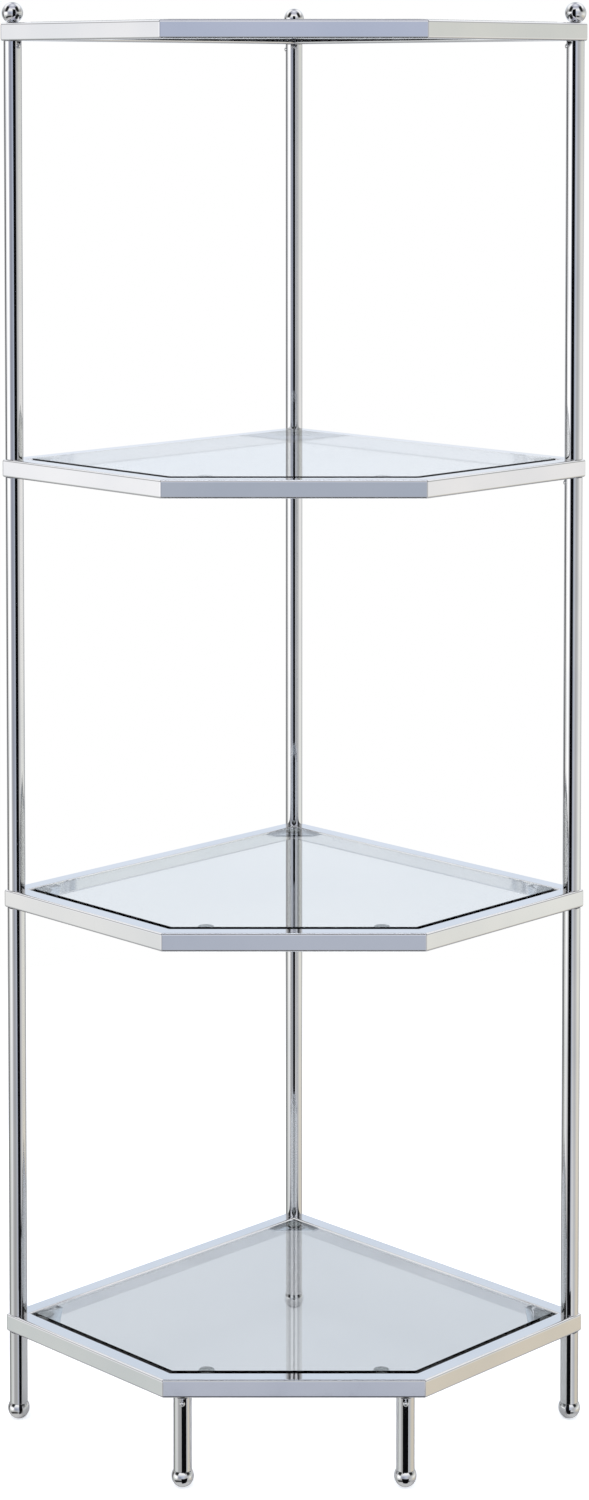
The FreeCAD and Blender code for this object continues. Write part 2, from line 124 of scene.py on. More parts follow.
@dataclass(frozen=True)
class ShelfSizes:
    """Sizes of the whole shelf in metres, the same as the CAD solids have."""

    wall_length: float = 434 * MM
    side_length: float = 246 * MM
    pitch: float = 457 * MM
    bottom_height: float = 113 * MM
    rail: float = 19 * MM
    rail_radius: float = 2.5 * MM
    tube_radius: float = 9.5 * MM
    tube_wall: float = 1.2 * MM
    front_leg_inset: float = 20 * MM
    finial_radius: float = 11.2 * MM
    finial_base: float = 4.5 * MM
    foot_radius: float = 11.5 * MM
    foot_rest: float = 4.0 * MM
    pane_thickness: float = 5 * MM
    pane_gap: float = 3 * MM
    pane_proud: float = 0.8 * MM
    pane_corner: float = 3 * MM
    pane_arris: float = 0.25 * MM
    pad_radius: float = 8 * MM
    pad_thickness: float = 1.5 * MM
    tab_thickness: float = 2.5 * MM
    tab_width: float = 18 * MM
    tab_reach: float = 19 * MM
    tab_spacing: float = 178 * MM
    plate_leg: float = 38 * MM
    plate_nose: float = 8 * MM
    stud_hole: float = 4.1 * MM
    pin_radius: float = 2.8 * MM
    pin_drop: float = 5.5 * MM
    pin_proud: float = 1.6 * MM
    pin_clearance: float = 0.1 * MM

    @property
    def half_width(self) -> float:
        """Middle of the shelf to the outer point of a side corner."""
        return self.wall_length * math.sqrt(0.5)

    @property
    def front_half(self) -> float:
        """Half the length of the front rail."""
        return (self.wall_length - self.side_length) * math.sqrt(0.5)

    @property
    def depth(self) -> float:
        """Outer face of the front rail to the back corner, before that is rounded."""
        return (self.wall_length + self.side_length) * math.sqrt(0.5)

    @property
    def front_y(self) -> float:
        """Outer face of the front rail."""
        toe = max(0.0, self.foot_radius - self.rail / 2)
        return (toe - self.depth + self.rail_radius * (math.sqrt(2) - 1)) / 2

    @property
    def side_y(self) -> float:
        """Depth of the two side corners."""
        return self.front_y + self.side_length * math.sqrt(0.5)

    @property
    def back_y(self) -> float:
        """Depth of the back corner, before it is rounded."""
        return self.front_y + self.depth

    @property
    def foot_top(self) -> float:
        """Height of the ball foot, where its leg begins."""
        centre = math.sqrt(self.foot_radius ** 2 - self.foot_rest ** 2)
        return centre + math.sqrt(self.foot_radius ** 2 - self.tube_radius ** 2)

    def level(self, tier: Tier) -> float:
        """Height of a frame's top face."""
        return self.bottom_height + tier.value * self.pitch

    def tab_level(self, tier: Tier) -> float:
        """Height of the tabs' top faces, under the pads of a pane."""
        return self.level(tier) + self.pane_proud - self.pane_thickness - self.pad_thickness

    def axis(self, corner: Corner) -> Point:
        """Plan position of a tube.

        Args:
            corner: where the tube stands.

        Returns:
            The position of its axis.
        """
        inset = self.rail / math.sqrt(2)
        leg_x = self.front_half - self.front_leg_inset
        leg_y = self.front_y + self.rail / 2
        return {
            Corner.LEFT: (-self.half_width + inset, self.side_y),
            Corner.RIGHT: (self.half_width - inset, self.side_y),
            Corner.BACK: (0.0, self.back_y - inset),
            Corner.FRONT_LEFT: (-leg_x, leg_y),
            Corner.FRONT_RIGHT: (leg_x, leg_y),
        }[corner]


SIZES = ShelfSizes()


@dataclass
class MeshMaker:
    """Collects points and faces, with a normal for each face corner, and makes a mesh object of them."""

    points: list[Vector] = field(default_factory=list)
    faces: list[tuple[int, ...]] = field(default_factory=list)
    normals: list[Vector] = field(default_factory=list)
    slots: list[int] = field(default_factory=list)

    def point(self, place: Vector) -> int:
        """Add a point and return its number."""
        self.points.append(place)
        return len(self.points) - 1

    def face(self, corners: Sequence[int], normals: Sequence[Vector], slot: int = 0) -> None:
        """Add a face.

        Args:
            corners: point numbers, anticlockwise seen from outside.
            normals: one shading normal for each corner.
            slot: number of the material slot.
        """
        self.faces.append(tuple(corners))
        self.normals.extend(normals)
        self.slots.append(slot)

    def make(self, name: str, place: Matrix | None = None) -> bpy.types.Object:
        """Make the mesh object, with its place in its points.

        Args:
            name: name of the piece.
            place: turn and shift of the whole piece, or None to leave it.

        Returns:
            The new object, linked into the scene.
        """
        place = place or Matrix.Identity(4)
        turn = place.to_3x3()
        mesh = bpy.data.meshes.new(name)
        mesh.from_pydata([place @ point for point in self.points], [], self.faces)
        mesh.polygons.foreach_set("use_smooth", [True] * len(mesh.polygons))
        mesh.polygons.foreach_set("material_index", self.slots)
        mesh.update()
        mesh.normals_split_custom_set([(turn @ normal).normalized() for normal in self.normals])
        piece = bpy.data.objects.new(name, mesh)
        bpy.context.scene.collection.objects.link(piece)
        return piece


@dataclass(frozen=True)
class Stretch:
    """One smooth stretch of a profile: places and outward normals, each as (across, up)."""

    places: tuple[Point, ...]
    normals: tuple[Point, ...]

    @staticmethod
    def line(start: Point, end: Point) -> "Stretch":
        """Straight stretch; outside is on the right of its direction.

        Args:
            start: first place.
            end: last place.

        Returns:
            The stretch.
        """
        along = Vector((end[0] - start[0], end[1] - start[1])).normalized()
        normal = (along.y, -along.x)
        return Stretch((start, end), (normal, normal))

    @staticmethod
    def arc(centre: Point, radius: float, first: float, last: float, steps: int) -> "Stretch":
        """Round stretch that bulges outwards.

        Args:
            centre: middle of the arc.
            radius: radius of the arc.
            first: start angle in degrees.
            last: end angle in degrees.
            steps: number of straight steps.

        Returns:
            The stretch.
        """
        angles = [math.radians(first + (last - first) * step / steps) for step in range(steps + 1)]
        normals = tuple((math.cos(angle), math.sin(angle)) for angle in angles)
        places = tuple((centre[0] + radius * x, centre[1] + radius * y) for x, y in normals)
        return Stretch(places, normals)


def turn_on_lathe(profile: Sequence[Stretch], steps: int, closed: bool) -> MeshMaker:
    """Turn a profile round the vertical axis.

    Args:
        profile: stretches that follow each other, going up on the outside.
        steps: number of faces round the axis.
        closed: True for a ring such as a tube, False for a solid that starts and ends on the axis.

    Returns:
        The mesh maker with the turned surface.
    """
    maker = MeshMaker()
    angles = [2 * math.pi * step / steps for step in range(steps)]
    rings: list[list[int]] = []
    places: list[Point] = []
    for stretch in profile:
        for place in stretch.places:
            if places and math.dist(places[-1], place) < SAME_PLACE:
                continue
            if closed and places and math.dist(places[0], place) < SAME_PLACE:
                continue
            places.append(place)
    for radius, height in places:
        if radius < SAME_PLACE:
            rings.append([maker.point(Vector((0.0, 0.0, height)))] * steps)
        else:
            ring = [Vector((radius * math.cos(a), radius * math.sin(a), height)) for a in angles]
            rings.append([maker.point(point) for point in ring])

    def shade(normal: Point, step: int) -> Vector:
        """Normal of the profile, turned to one step round the axis."""
        angle = angles[step % steps]
        return Vector((normal[0] * math.cos(angle), normal[0] * math.sin(angle), normal[1]))

    number = 0
    for stretch in profile:
        for start, end in zip(stretch.normals, stretch.normals[1:]):
            lower = rings[number]
            upper = rings[(number + 1) % len(rings)]
            for step in range(steps):
                after = (step + 1) % steps
                corners = [lower[step], lower[after], upper[after], upper[step]]
                normals = [shade(start, step), shade(start, after), shade(end, after), shade(end, step)]
                kept = [i for i in range(4) if corners[i] not in corners[:i]]
                maker.face([corners[i] for i in kept], [normals[i] for i in kept])
            number += 1
    return maker


def rounded_outline(
    corners: Sequence[Point],
    radii: Sequence[float],
    steps: int,
) -> list[tuple[Vector, Vector]]:
    """Outline of a plate with rounded corners.

    Args:
        corners: sharp corners, anticlockwise.
        radii: rounding of each corner, 0 for a sharp one.
        steps: number of straight steps in each rounding.

    Returns:
        Places round the outline, each with its outward normal. A sharp corner has two of them.
    """
    outline: list[tuple[Vector, Vector]] = []
    count = len(corners)
    for number, corner in enumerate(corners):
        here = Vector(corner)
        arriving = (here - Vector(corners[number - 1])).normalized()
        leaving = (Vector(corners[(number + 1) % count]) - here).normalized()
        outward = Vector((arriving.y, -arriving.x))
        turn = -arriving.angle_signed(leaving)
        radius = radii[number]
        setback = radius * math.tan(turn / 2)
        centre = here - arriving * setback - outward * radius
        pieces = steps if radius > 0 else 1
        for step in range(pieces + 1):
            normal = outward.copy()
            normal.rotate(Matrix.Rotation(turn * step / pieces, 2))
            outline.append((centre + normal * radius, normal))
    return outline


def cut_plate(
    outline: Sequence[tuple[Vector, Vector]],
    bottom: float,
    top: float,
    edge: float,
    steps: int,
    edge_slot: int = 0,
    arris_slot: int = 0,
) -> MeshMaker:
    """Flat plate with softened edges.

    Args:
        outline: places and outward normals round the plate.
        bottom: height of the lower face.
        top: height of the upper face.
        edge: rounding of the upper and lower edges.
        steps: number of straight steps in the rounding.
        edge_slot: material slot of the plate's edge.
        arris_slot: material slot of the rounding above and below it.

    Returns:
        The mesh maker with the plate.
    """
    maker = MeshMaker()
    up = Vector((0, 0, 1))
    slopes: list[tuple[float, float]] = []
    rings: list[list[int]] = []
    for middle, first in ((bottom + edge, -90), (top - edge, 0)):
        for step in range(steps + 1):
            angle = math.radians(first + 90 * step / steps)
            out, rise = math.cos(angle), math.sin(angle)
            height = up * (middle + edge * rise)
            inward = edge * (1 - out)
            inset = [(place - normal * inward).to_3d() for place, normal in outline]
            rings.append([maker.point(place + height) for place in inset])
            slopes.append((out, rise))
    count = len(outline)
    for level, (lower, upper) in enumerate(zip(rings, rings[1:])):
        slot = edge_slot if level == steps else arris_slot
        for number in range(count):
            after = (number + 1) % count
            normals = []
            for line, spot in ((level, number), (level, after), (level + 1, after), (level + 1, number)):
                out, rise = slopes[line]
                flat = outline[spot][1]
                normals.append(Vector((flat.x * out, flat.y * out, rise)))
            maker.face([lower[number], lower[after], upper[after], upper[number]], normals, slot)
    maker.face(rings[-1], [up] * count)
    maker.face(rings[0][::-1], [-up] * count)
    return maker


def flat_sheet(
    name: str,
    corners: Sequence[tuple[float, float, float]],
    normal: tuple[float, float, float],
) -> bpy.types.Object:
    """Sheet of one flat face.

    Args:
        name: name of the sheet.
        corners: its corners, anticlockwise seen from its front.
        normal: the way that its front faces.

    Returns:
        The new object.
    """
    maker = MeshMaker()
    points = [maker.point(Vector(corner)) for corner in corners]
    maker.face(points, [Vector(normal)] * len(points))
    return maker.make(name)


@dataclass
class NodeBench:
    """Short ways to set up the nodes of one tree."""

    tree: bpy.types.NodeTree

    def feed(self, target: Socket, value: object) -> None:
        """Link a socket to an input, or set the input to a plain value.

        Args:
            target: the input.
            value: a socket or a plain value.
        """
        if isinstance(value, Socket):
            self.tree.links.new(value, target)
        else:
            target.default_value = value

    def fill(self, node: bpy.types.Node, inputs: dict[str, object]) -> None:
        """Feed the named inputs of a node, each with a socket or a plain value."""
        for name, value in inputs.items():
            self.feed(node.inputs[name], value)

    def add(self, kind: str, inputs: dict[str, object] | None = None, **settings: object) -> bpy.types.Node:
        """New node.

        Args:
            kind: type of the node.
            inputs: a socket or a plain value for each named input.
            settings: values of the node's own properties.

        Returns:
            The node.
        """
        node = self.tree.nodes.new(kind)
        for name, value in settings.items():
            setattr(node, name, value)
        self.fill(node, inputs or {})
        return node

    def in_order(self, kind: str, values: Sequence[object], **settings: object) -> Socket:
        """New node whose inputs are fed in their order.

        Args:
            kind: type of the node.
            values: a socket or a plain value for each input.
            settings: values of the node's own properties.

        Returns:
            The node's first output.
        """
        node = self.add(kind, **settings)
        for target, value in zip(node.inputs, values):
            self.feed(target, value)
        return node.outputs[0]

    def calc(self, operation: str, *values: object) -> Socket:
        """Result of a Math node on sockets or numbers."""
        return self.in_order("ShaderNodeMath", values, operation=operation)

    def choose(self, *sockets: Socket) -> Socket:
        """Mix Shader of a factor and two shaders."""
        return self.in_order("ShaderNodeMixShader", sockets)

    def fold(self, operation: str, *values: object) -> Socket:
        """Math nodes that bring several values together, two at a time.

        Args:
            operation: name of the operation.
            values: sockets or numbers.

        Returns:
            The result.
        """
        total, *others = values
        for value in others:
            total = self.calc(operation, total, value)
        return total

    def fade(self, value: Socket, *ends: object, smooth: bool = False) -> Socket:
        """Clamped change of a value.

        Args:
            value: the value.
            ends: where it starts and ends, and what it becomes there (0 and 1 if left out).
            smooth: True to ease the change in and out.

        Returns:
            The changed value.
        """
        node = self.add("ShaderNodeMapRange", {"Value": value})
        if smooth:
            node.interpolation_type = "SMOOTHSTEP"
        self.fill(node, dict(zip(("From Min", "From Max", "To Min", "To Max"), ends)))
        return node.outputs["Result"]

    def mix(self, factor: Socket, first: object, second: object) -> Socket:
        """Mix of two colours.

        Args:
            factor: 0 for the first colour, 1 for the second.
            first: a socket or a colour.
            second: a socket or a colour.

        Returns:
            The mixed colour.
        """
        node = self.add("ShaderNodeMix", data_type="RGBA")
        self.feed(node.inputs["Factor"], factor)
        self.feed(node.inputs[MIX_FIRST], first)
        self.feed(node.inputs[MIX_SECOND], second)
        return node.outputs[MIX_RESULT]

    def noise(self, place: Socket, scale: float, detail: float) -> Socket:
        """Noise on given coordinates."""
        node = self.add("ShaderNodeTexNoise", {"Vector": place, "Scale": scale, "Detail": detail})
        return node.outputs["Fac"]

    def place(self) -> Socket:
        """Object coordinates, which are the places in the shelf's own frame."""
        return self.add("ShaderNodeTexCoord").outputs["Object"]

    def split(self, vector: Socket) -> bpy.types.NodeOutputs:
        """X, Y and Z of a vector."""
        return self.add("ShaderNodeSeparateXYZ", {"Vector": vector}).outputs

    def path(self) -> bpy.types.NodeOutputs:
        """What is known of the ray that arrives."""
        return self.add("ShaderNodeLightPath").outputs

    def seen(self) -> Socket:
        """Mask of what the camera sees, straight or through the glass, but not in a reflection.

        Returns:
            The mask.
        """
        path = self.path()
        straight = self.calc("LESS_THAN", path["Glossy Depth"], ONE_BOUNCE)
        through = self.calc("MULTIPLY", path["Is Transmission Ray"], straight)
        return self.calc("MAXIMUM", path["Is Camera Ray"], through)


def node_material(name: str) -> tuple[bpy.types.Material, NodeBench, bpy.types.Node]:
    """New node material with a Principled shader.

    Args:
        name: name of the finish.

    Returns:
        The material, the bench of its node tree and its Principled node.
    """
    material = bpy.data.materials.new(name)
    material.use_nodes = True
    shader = next(node for node in material.node_tree.nodes if node.type == "BSDF_PRINCIPLED")
    return material, NodeBench(material.node_tree), shader


@dataclass(frozen=True)
class Mottle:
    """Cloudy noise, and the values of it between which a mask rises from 0 to 1."""

    scale: float
    detail: float
    low: float
    high: float

    def mask(self, bench: NodeBench, place: Socket) -> Socket:
        """Smooth mask of the noise on given coordinates."""
        noise = bench.noise(place, self.scale, self.detail)
        return bench.fade(noise, self.low, self.high, smooth=True)


@dataclass
class SurfaceEffects:
    """Shader node groups that more than one finish uses.

    The grain and the ripple are plain noises, each given as its scale and its detail.
    """

    tone_clouds: Mottle = Mottle(9.0, 3.0, 0.35, 0.7)
    rubbed_spots: Mottle = Mottle(38.0, 6.0, 0.45, 0.8)
    wiped_smears: Mottle = Mottle(24.0, 5.0, 0.5, 0.8)
    tint_clouds: Mottle = Mottle(4.0, 2.0, 0.3, 0.7)
    grain: Point = (900.0, 2.0)
    ripple: Point = (55.0, 1.0)
    wipe_stretch: tuple[float, float, float] = (1.0, 0.35, 1.0)
    wipe_turn: float = 35.0
    plating: bpy.types.NodeTree = field(init=False)
    smears: bpy.types.NodeTree = field(init=False)

    def __post_init__(self) -> None:
        """Build the groups once."""
        self.plating = self._plating_group()
        self.smears = self._smears_group()

    @staticmethod
    def _group(
        name: str,
        inputs: dict[str, float | Colour],
        outputs: dict[str, str],
    ) -> tuple[NodeBench, bpy.types.NodeOutputs, bpy.types.NodeInputs]:
        """Empty group with named sockets.

        Args:
            name: name of the group.
            inputs: default of each input, a number or a colour.
            outputs: socket type of each output.

        Returns:
            The bench of its tree, the sockets that it is given and the sockets that it puts out.
        """
        tree = bpy.data.node_groups.new(name, "ShaderNodeTree")
        for title, default in inputs.items():
            kind = "NodeSocketFloat" if isinstance(default, float) else "NodeSocketColor"
            socket = tree.interface.new_socket(name=title, in_out="INPUT", socket_type=kind)
            socket.default_value = default
        for title, kind in outputs.items():
            tree.interface.new_socket(name=title, in_out="OUTPUT", socket_type=kind)
        bench = NodeBench(tree)
        return bench, bench.add("NodeGroupInput").outputs, bench.add("NodeGroupOutput").inputs

    def _plating_group(self) -> bpy.types.NodeTree:
        """Chrome plating: cloudy tone, hand-polished haze and the faint ripple of the metal under it.

        Returns:
            The group's tree.
        """
        bench, given, result = self._group(
            "plating",
            {
                "Bright": (0.8, 0.8, 0.8, 1.0),
                "Dull": (0.7, 0.7, 0.7, 1.0),
                "Polished": 0.03,
                "Hazed": 0.1,
            },
            {"Tone": "NodeSocketColor", "Haze": "NodeSocketFloat", "Ripple": "NodeSocketFloat"},
        )
        place = bench.place()
        clouds = self.tone_clouds.mask(bench, place)
        bench.feed(result["Tone"], bench.mix(clouds, given["Bright"], given["Dull"]))
        rubbed = self.rubbed_spots.mask(bench, place)
        worn = bench.calc("MULTIPLY", rubbed, bench.noise(place, *self.grain))
        bench.feed(result["Haze"], bench.fade(worn, 0.0, 1.0, given["Polished"], given["Hazed"]))
        bench.feed(result["Ripple"], bench.noise(place, *self.ripple))
        return bench.tree

    def _smears_group(self) -> bpy.types.NodeTree:
        """Wiped glass or clear plastic: faint cloth smears and a slight change of tint.

        Returns:
            The group's tree.
        """
        bench, given, result = self._group(
            "wiped_smears",
            {
                "Clear": (1.0, 1.0, 1.0, 1.0),
                "Tinted": (0.95, 0.98, 1.0, 1.0),
                "Clean": 0.0,
                "Smeared": 0.05,
            },
            {"Tint": "NodeSocketColor", "Smear": "NodeSocketFloat"},
        )
        place = bench.place()
        stretched = bench.add("ShaderNodeMapping", {
            "Vector": place,
            "Scale": self.wipe_stretch,
            "Rotation": (0.0, 0.0, math.radians(self.wipe_turn)),
        })
        wiped = self.wiped_smears.mask(bench, stretched.outputs["Vector"])
        bench.feed(result["Smear"], bench.fade(wiped, 0.0, 1.0, given["Clean"], given["Smeared"]))
        clouds = self.tint_clouds.mask(bench, place)
        bench.feed(result["Tint"], bench.mix(clouds, given["Clear"], given["Tinted"]))
        return bench.tree


@dataclass(frozen=True)
class PlatedFinish:
    """Plated or bare metal."""

    name: str
    bright: Colour
    dull: Colour
    polished: float
    hazed: float
    ripple: float
    ripple_height: float = 0.2 * MM

    def material(self, effects: SurfaceEffects) -> bpy.types.Material:
        """Build the material.

        Args:
            effects: shared shader groups.

        Returns:
            The finished material.
        """
        material, bench, shader = node_material(self.name)
        values = {"Bright": self.bright, "Dull": self.dull, "Polished": self.polished, "Hazed": self.hazed}
        film = bench.add("ShaderNodeGroup", values, node_tree=effects.plating).outputs
        bump = bench.add("ShaderNodeBump", {
            "Strength": self.ripple,
            "Distance": self.ripple_height,
            "Height": film["Ripple"],
        })
        bench.fill(shader, {
            "Metallic": 1.0,
            "Base Color": film["Tone"],
            "Roughness": film["Haze"],
            "Normal": bump.outputs["Normal"],
        })
        return material


@dataclass(frozen=True)
class ClearFinish:
    """Clear glass or clear soft plastic."""

    name: str
    clear: Colour
    tinted: Colour
    clean: float
    smeared: float
    ior: float
    see_through: float

    def material(self, effects: SurfaceEffects) -> bpy.types.Material:
        """Build the material.

        Args:
            effects: shared shader groups.

        Returns:
            The finished material.
        """
        material, bench, shader = node_material(self.name)
        values = {"Clear": self.clear, "Tinted": self.tinted, "Clean": self.clean, "Smeared": self.smeared}
        film = bench.add("ShaderNodeGroup", values, node_tree=effects.smears).outputs
        bench.fill(shader, {
            "Transmission Weight": self.see_through,
            "IOR": self.ior,
            "Base Color": film["Tint"],
            "Roughness": film["Smear"],
        })
        return material


# Metals: bright and dull tone, roughness where polished and where hazed, strength of the ripple
FRAME_CHROME = PlatedFinish("frame_chrome", (0.80, 0.80, 0.82, 1), (0.75, 0.76, 0.79, 1), 0.04, 0.12, 0.03)
TUBE_CHROME = PlatedFinish("tube_chrome", (0.80, 0.80, 0.81, 1), (0.74, 0.75, 0.77, 1), 0.03, 0.10, 0.04)
BALL_CHROME = PlatedFinish("ball_chrome", (0.82, 0.82, 0.83, 1), (0.76, 0.77, 0.79, 1), 0.02, 0.08, 0.05)
PIN_CHROME = PlatedFinish("pin_chrome", (0.84, 0.84, 0.85, 1), (0.74, 0.75, 0.77, 1), 0.05, 0.15, 0.05)
TAB_STEEL = PlatedFinish("tab_steel", (0.85, 0.86, 0.88, 1), (0.77, 0.78, 0.81, 1), 0.05, 0.15, 0.06)
PLUG_STEEL = PlatedFinish("plug_steel", (0.50, 0.50, 0.50, 1), (0.36, 0.36, 0.37, 1), 0.25, 0.55, 0.2)
STUD_STEEL = PlatedFinish("stud_steel", (0.58, 0.56, 0.50, 1), (0.44, 0.43, 0.40, 1), 0.25, 0.5, 0.2)

# Clear finishes: clear and tinted tone, roughness where clean and where smeared, IOR, share that is clear
GLASS_IOR = 1.52
PLASTIC_IOR = 1.45
PANE_GLASS = ClearFinish(
    "clear_glass", (0.822, 0.842, 0.852, 1), (0.791, 0.816, 0.832, 1), 0.0, 0.03, GLASS_IOR, 1.0,
)
# Painted shade: the ground edge face is tinted near black, a little green like the glass itself, for the
# dark line that a pane's edge shows
PANE_EDGE_PAINTED_DARK = ClearFinish(
    "ground_glass_edge", (0.010, 0.026, 0.024, 1), (0.005, 0.014, 0.014, 1), 0.2, 0.4, GLASS_IOR, 0.12,
)
# Partly painted highlight: the ground arrises are paler than the pane, as frosted glass is, and bright
# enough to stand in for the highlight along the pane's top edge
PANE_ARRIS_PAINTED_BRIGHT = ClearFinish(
    "glass_arris", (0.86, 0.92, 0.92, 1), (0.76, 0.84, 0.85, 1), 0.25, 0.5, GLASS_IOR, 0.5,
)
PAD_PLASTIC = ClearFinish(
    "clear_pad", (0.96, 0.98, 0.99, 1), (0.92, 0.95, 0.96, 1), 0.06, 0.2, PLASTIC_IOR, 0.9,
)


@dataclass
class Workshop:
    """Finishes that are made once and shared by all pieces."""

    effects: SurfaceEffects = field(default_factory=SurfaceEffects)
    made: dict[str, bpy.types.Material] = field(default_factory=dict)

    def finish(self, finish: PlatedFinish | ClearFinish) -> bpy.types.Material:
        """Material of a finish, built the first time it is asked for.

        Args:
            finish: the finish.

        Returns:
            Its material.
        """
        if finish.name not in self.made:
            self.made[finish.name] = finish.material(self.effects)
        return self.made[finish.name]

    def hand_over(
        self,
        piece: bpy.types.Object,
        finishes: Sequence[PlatedFinish | ClearFinish],
        body: str,
        nodes: Sequence[str],
    ) -> None:
        """Dress a finished piece and put it in the place of its CAD nodes.

        Args:
            piece: the mesh object.
            finishes: one finish for each of its material slots.
            body: CAD body that the piece moves with.
            nodes: CAD nodes that it stands for.
        """
        piece.data.materials.clear()
        for finish in finishes:
            piece.data.materials.append(self.finish(finish))
        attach(piece, body)
        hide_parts(*nodes)
        LOG.info("%s: %d faces for %s", piece.name, len(piece.data.polygons), ", ".join(nodes))


class Spreader:
    """Geometry Nodes tree that sets copies of one small piece on marked places."""

    def __init__(self) -> None:
        """Build the tree once."""
        self.tree = bpy.data.node_groups.new("copies_on_places", "GeometryNodeTree")
        self.ids: dict[str, str] = {}
        ask = self.tree.interface.new_socket
        kinds = {"Places": "Geometry", "Pattern": "Object", "Size": "Float", "Finish": "Material"}
        for name, kind in kinds.items():
            self.ids[name] = ask(name=name, in_out="INPUT", socket_type=f"NodeSocket{kind}").identifier
        ask(name="Copies", in_out="OUTPUT", socket_type="NodeSocketGeometry")
        bench = NodeBench(self.tree)
        given = bench.add("NodeGroupInput").outputs
        pattern = bench.add("GeometryNodeObjectInfo", {"Object": given["Pattern"]})
        heading = bench.add(
            "GeometryNodeInputNamedAttribute",
            {"Name": "heading"},
            data_type="FLOAT_VECTOR",
        )
        copies = bench.add("GeometryNodeInstanceOnPoints", {
            "Points": given["Places"],
            "Instance": pattern.outputs["Geometry"],
            "Rotation": heading.outputs["Attribute"],
            "Scale": given["Size"],
        })
        real = bench.add("GeometryNodeRealizeInstances", {"Geometry": copies.outputs["Instances"]})
        coat = bench.add("GeometryNodeSetMaterial", {
            "Geometry": real.outputs["Geometry"],
            "Material": given["Finish"],
        })
        bench.add("NodeGroupOutput", {"Copies": coat.outputs["Geometry"]})

    def spread(
        self,
        name: str,
        pattern: bpy.types.Object,
        places: Sequence[tuple[Vector, float]],
        material: bpy.types.Material,
    ) -> bpy.types.Object:
        """Set copies of a pattern on places and make one plain mesh of them.

        Args:
            name: name of the new piece.
            pattern: small piece, modelled at the origin. It is removed afterwards.
            places: where each copy goes, with its turn about the vertical in degrees.
            material: finish of the copies.

        Returns:
            The new piece.
        """
        mesh = bpy.data.meshes.new(f"{name}_places")
        mesh.from_pydata([place for place, _ in places], [], [])
        heading = mesh.attributes.new("heading", "FLOAT_VECTOR", "POINT")
        for entry, (_, turn) in zip(heading.data, places):
            entry.vector = (0.0, 0.0, math.radians(turn))
        carrier = bpy.data.objects.new(f"{name}_carrier", mesh)
        bpy.context.scene.collection.objects.link(carrier)
        modifier = carrier.modifiers.new("copies", "NODES")
        modifier.node_group = self.tree
        for title, value in {"Pattern": pattern, "Size": 1.0, "Finish": material}.items():
            modifier[self.ids[title]] = value
        graph = bpy.context.evaluated_depsgraph_get()
        result = bpy.data.meshes.new_from_object(carrier.evaluated_get(graph))
        result.name = name
        carrier.modifiers.remove(modifier)
        bpy.data.objects.remove(carrier)
        bpy.data.objects.remove(pattern)
        piece = bpy.data.objects.new(name, result)
        bpy.context.scene.collection.objects.link(piece)
        return piece


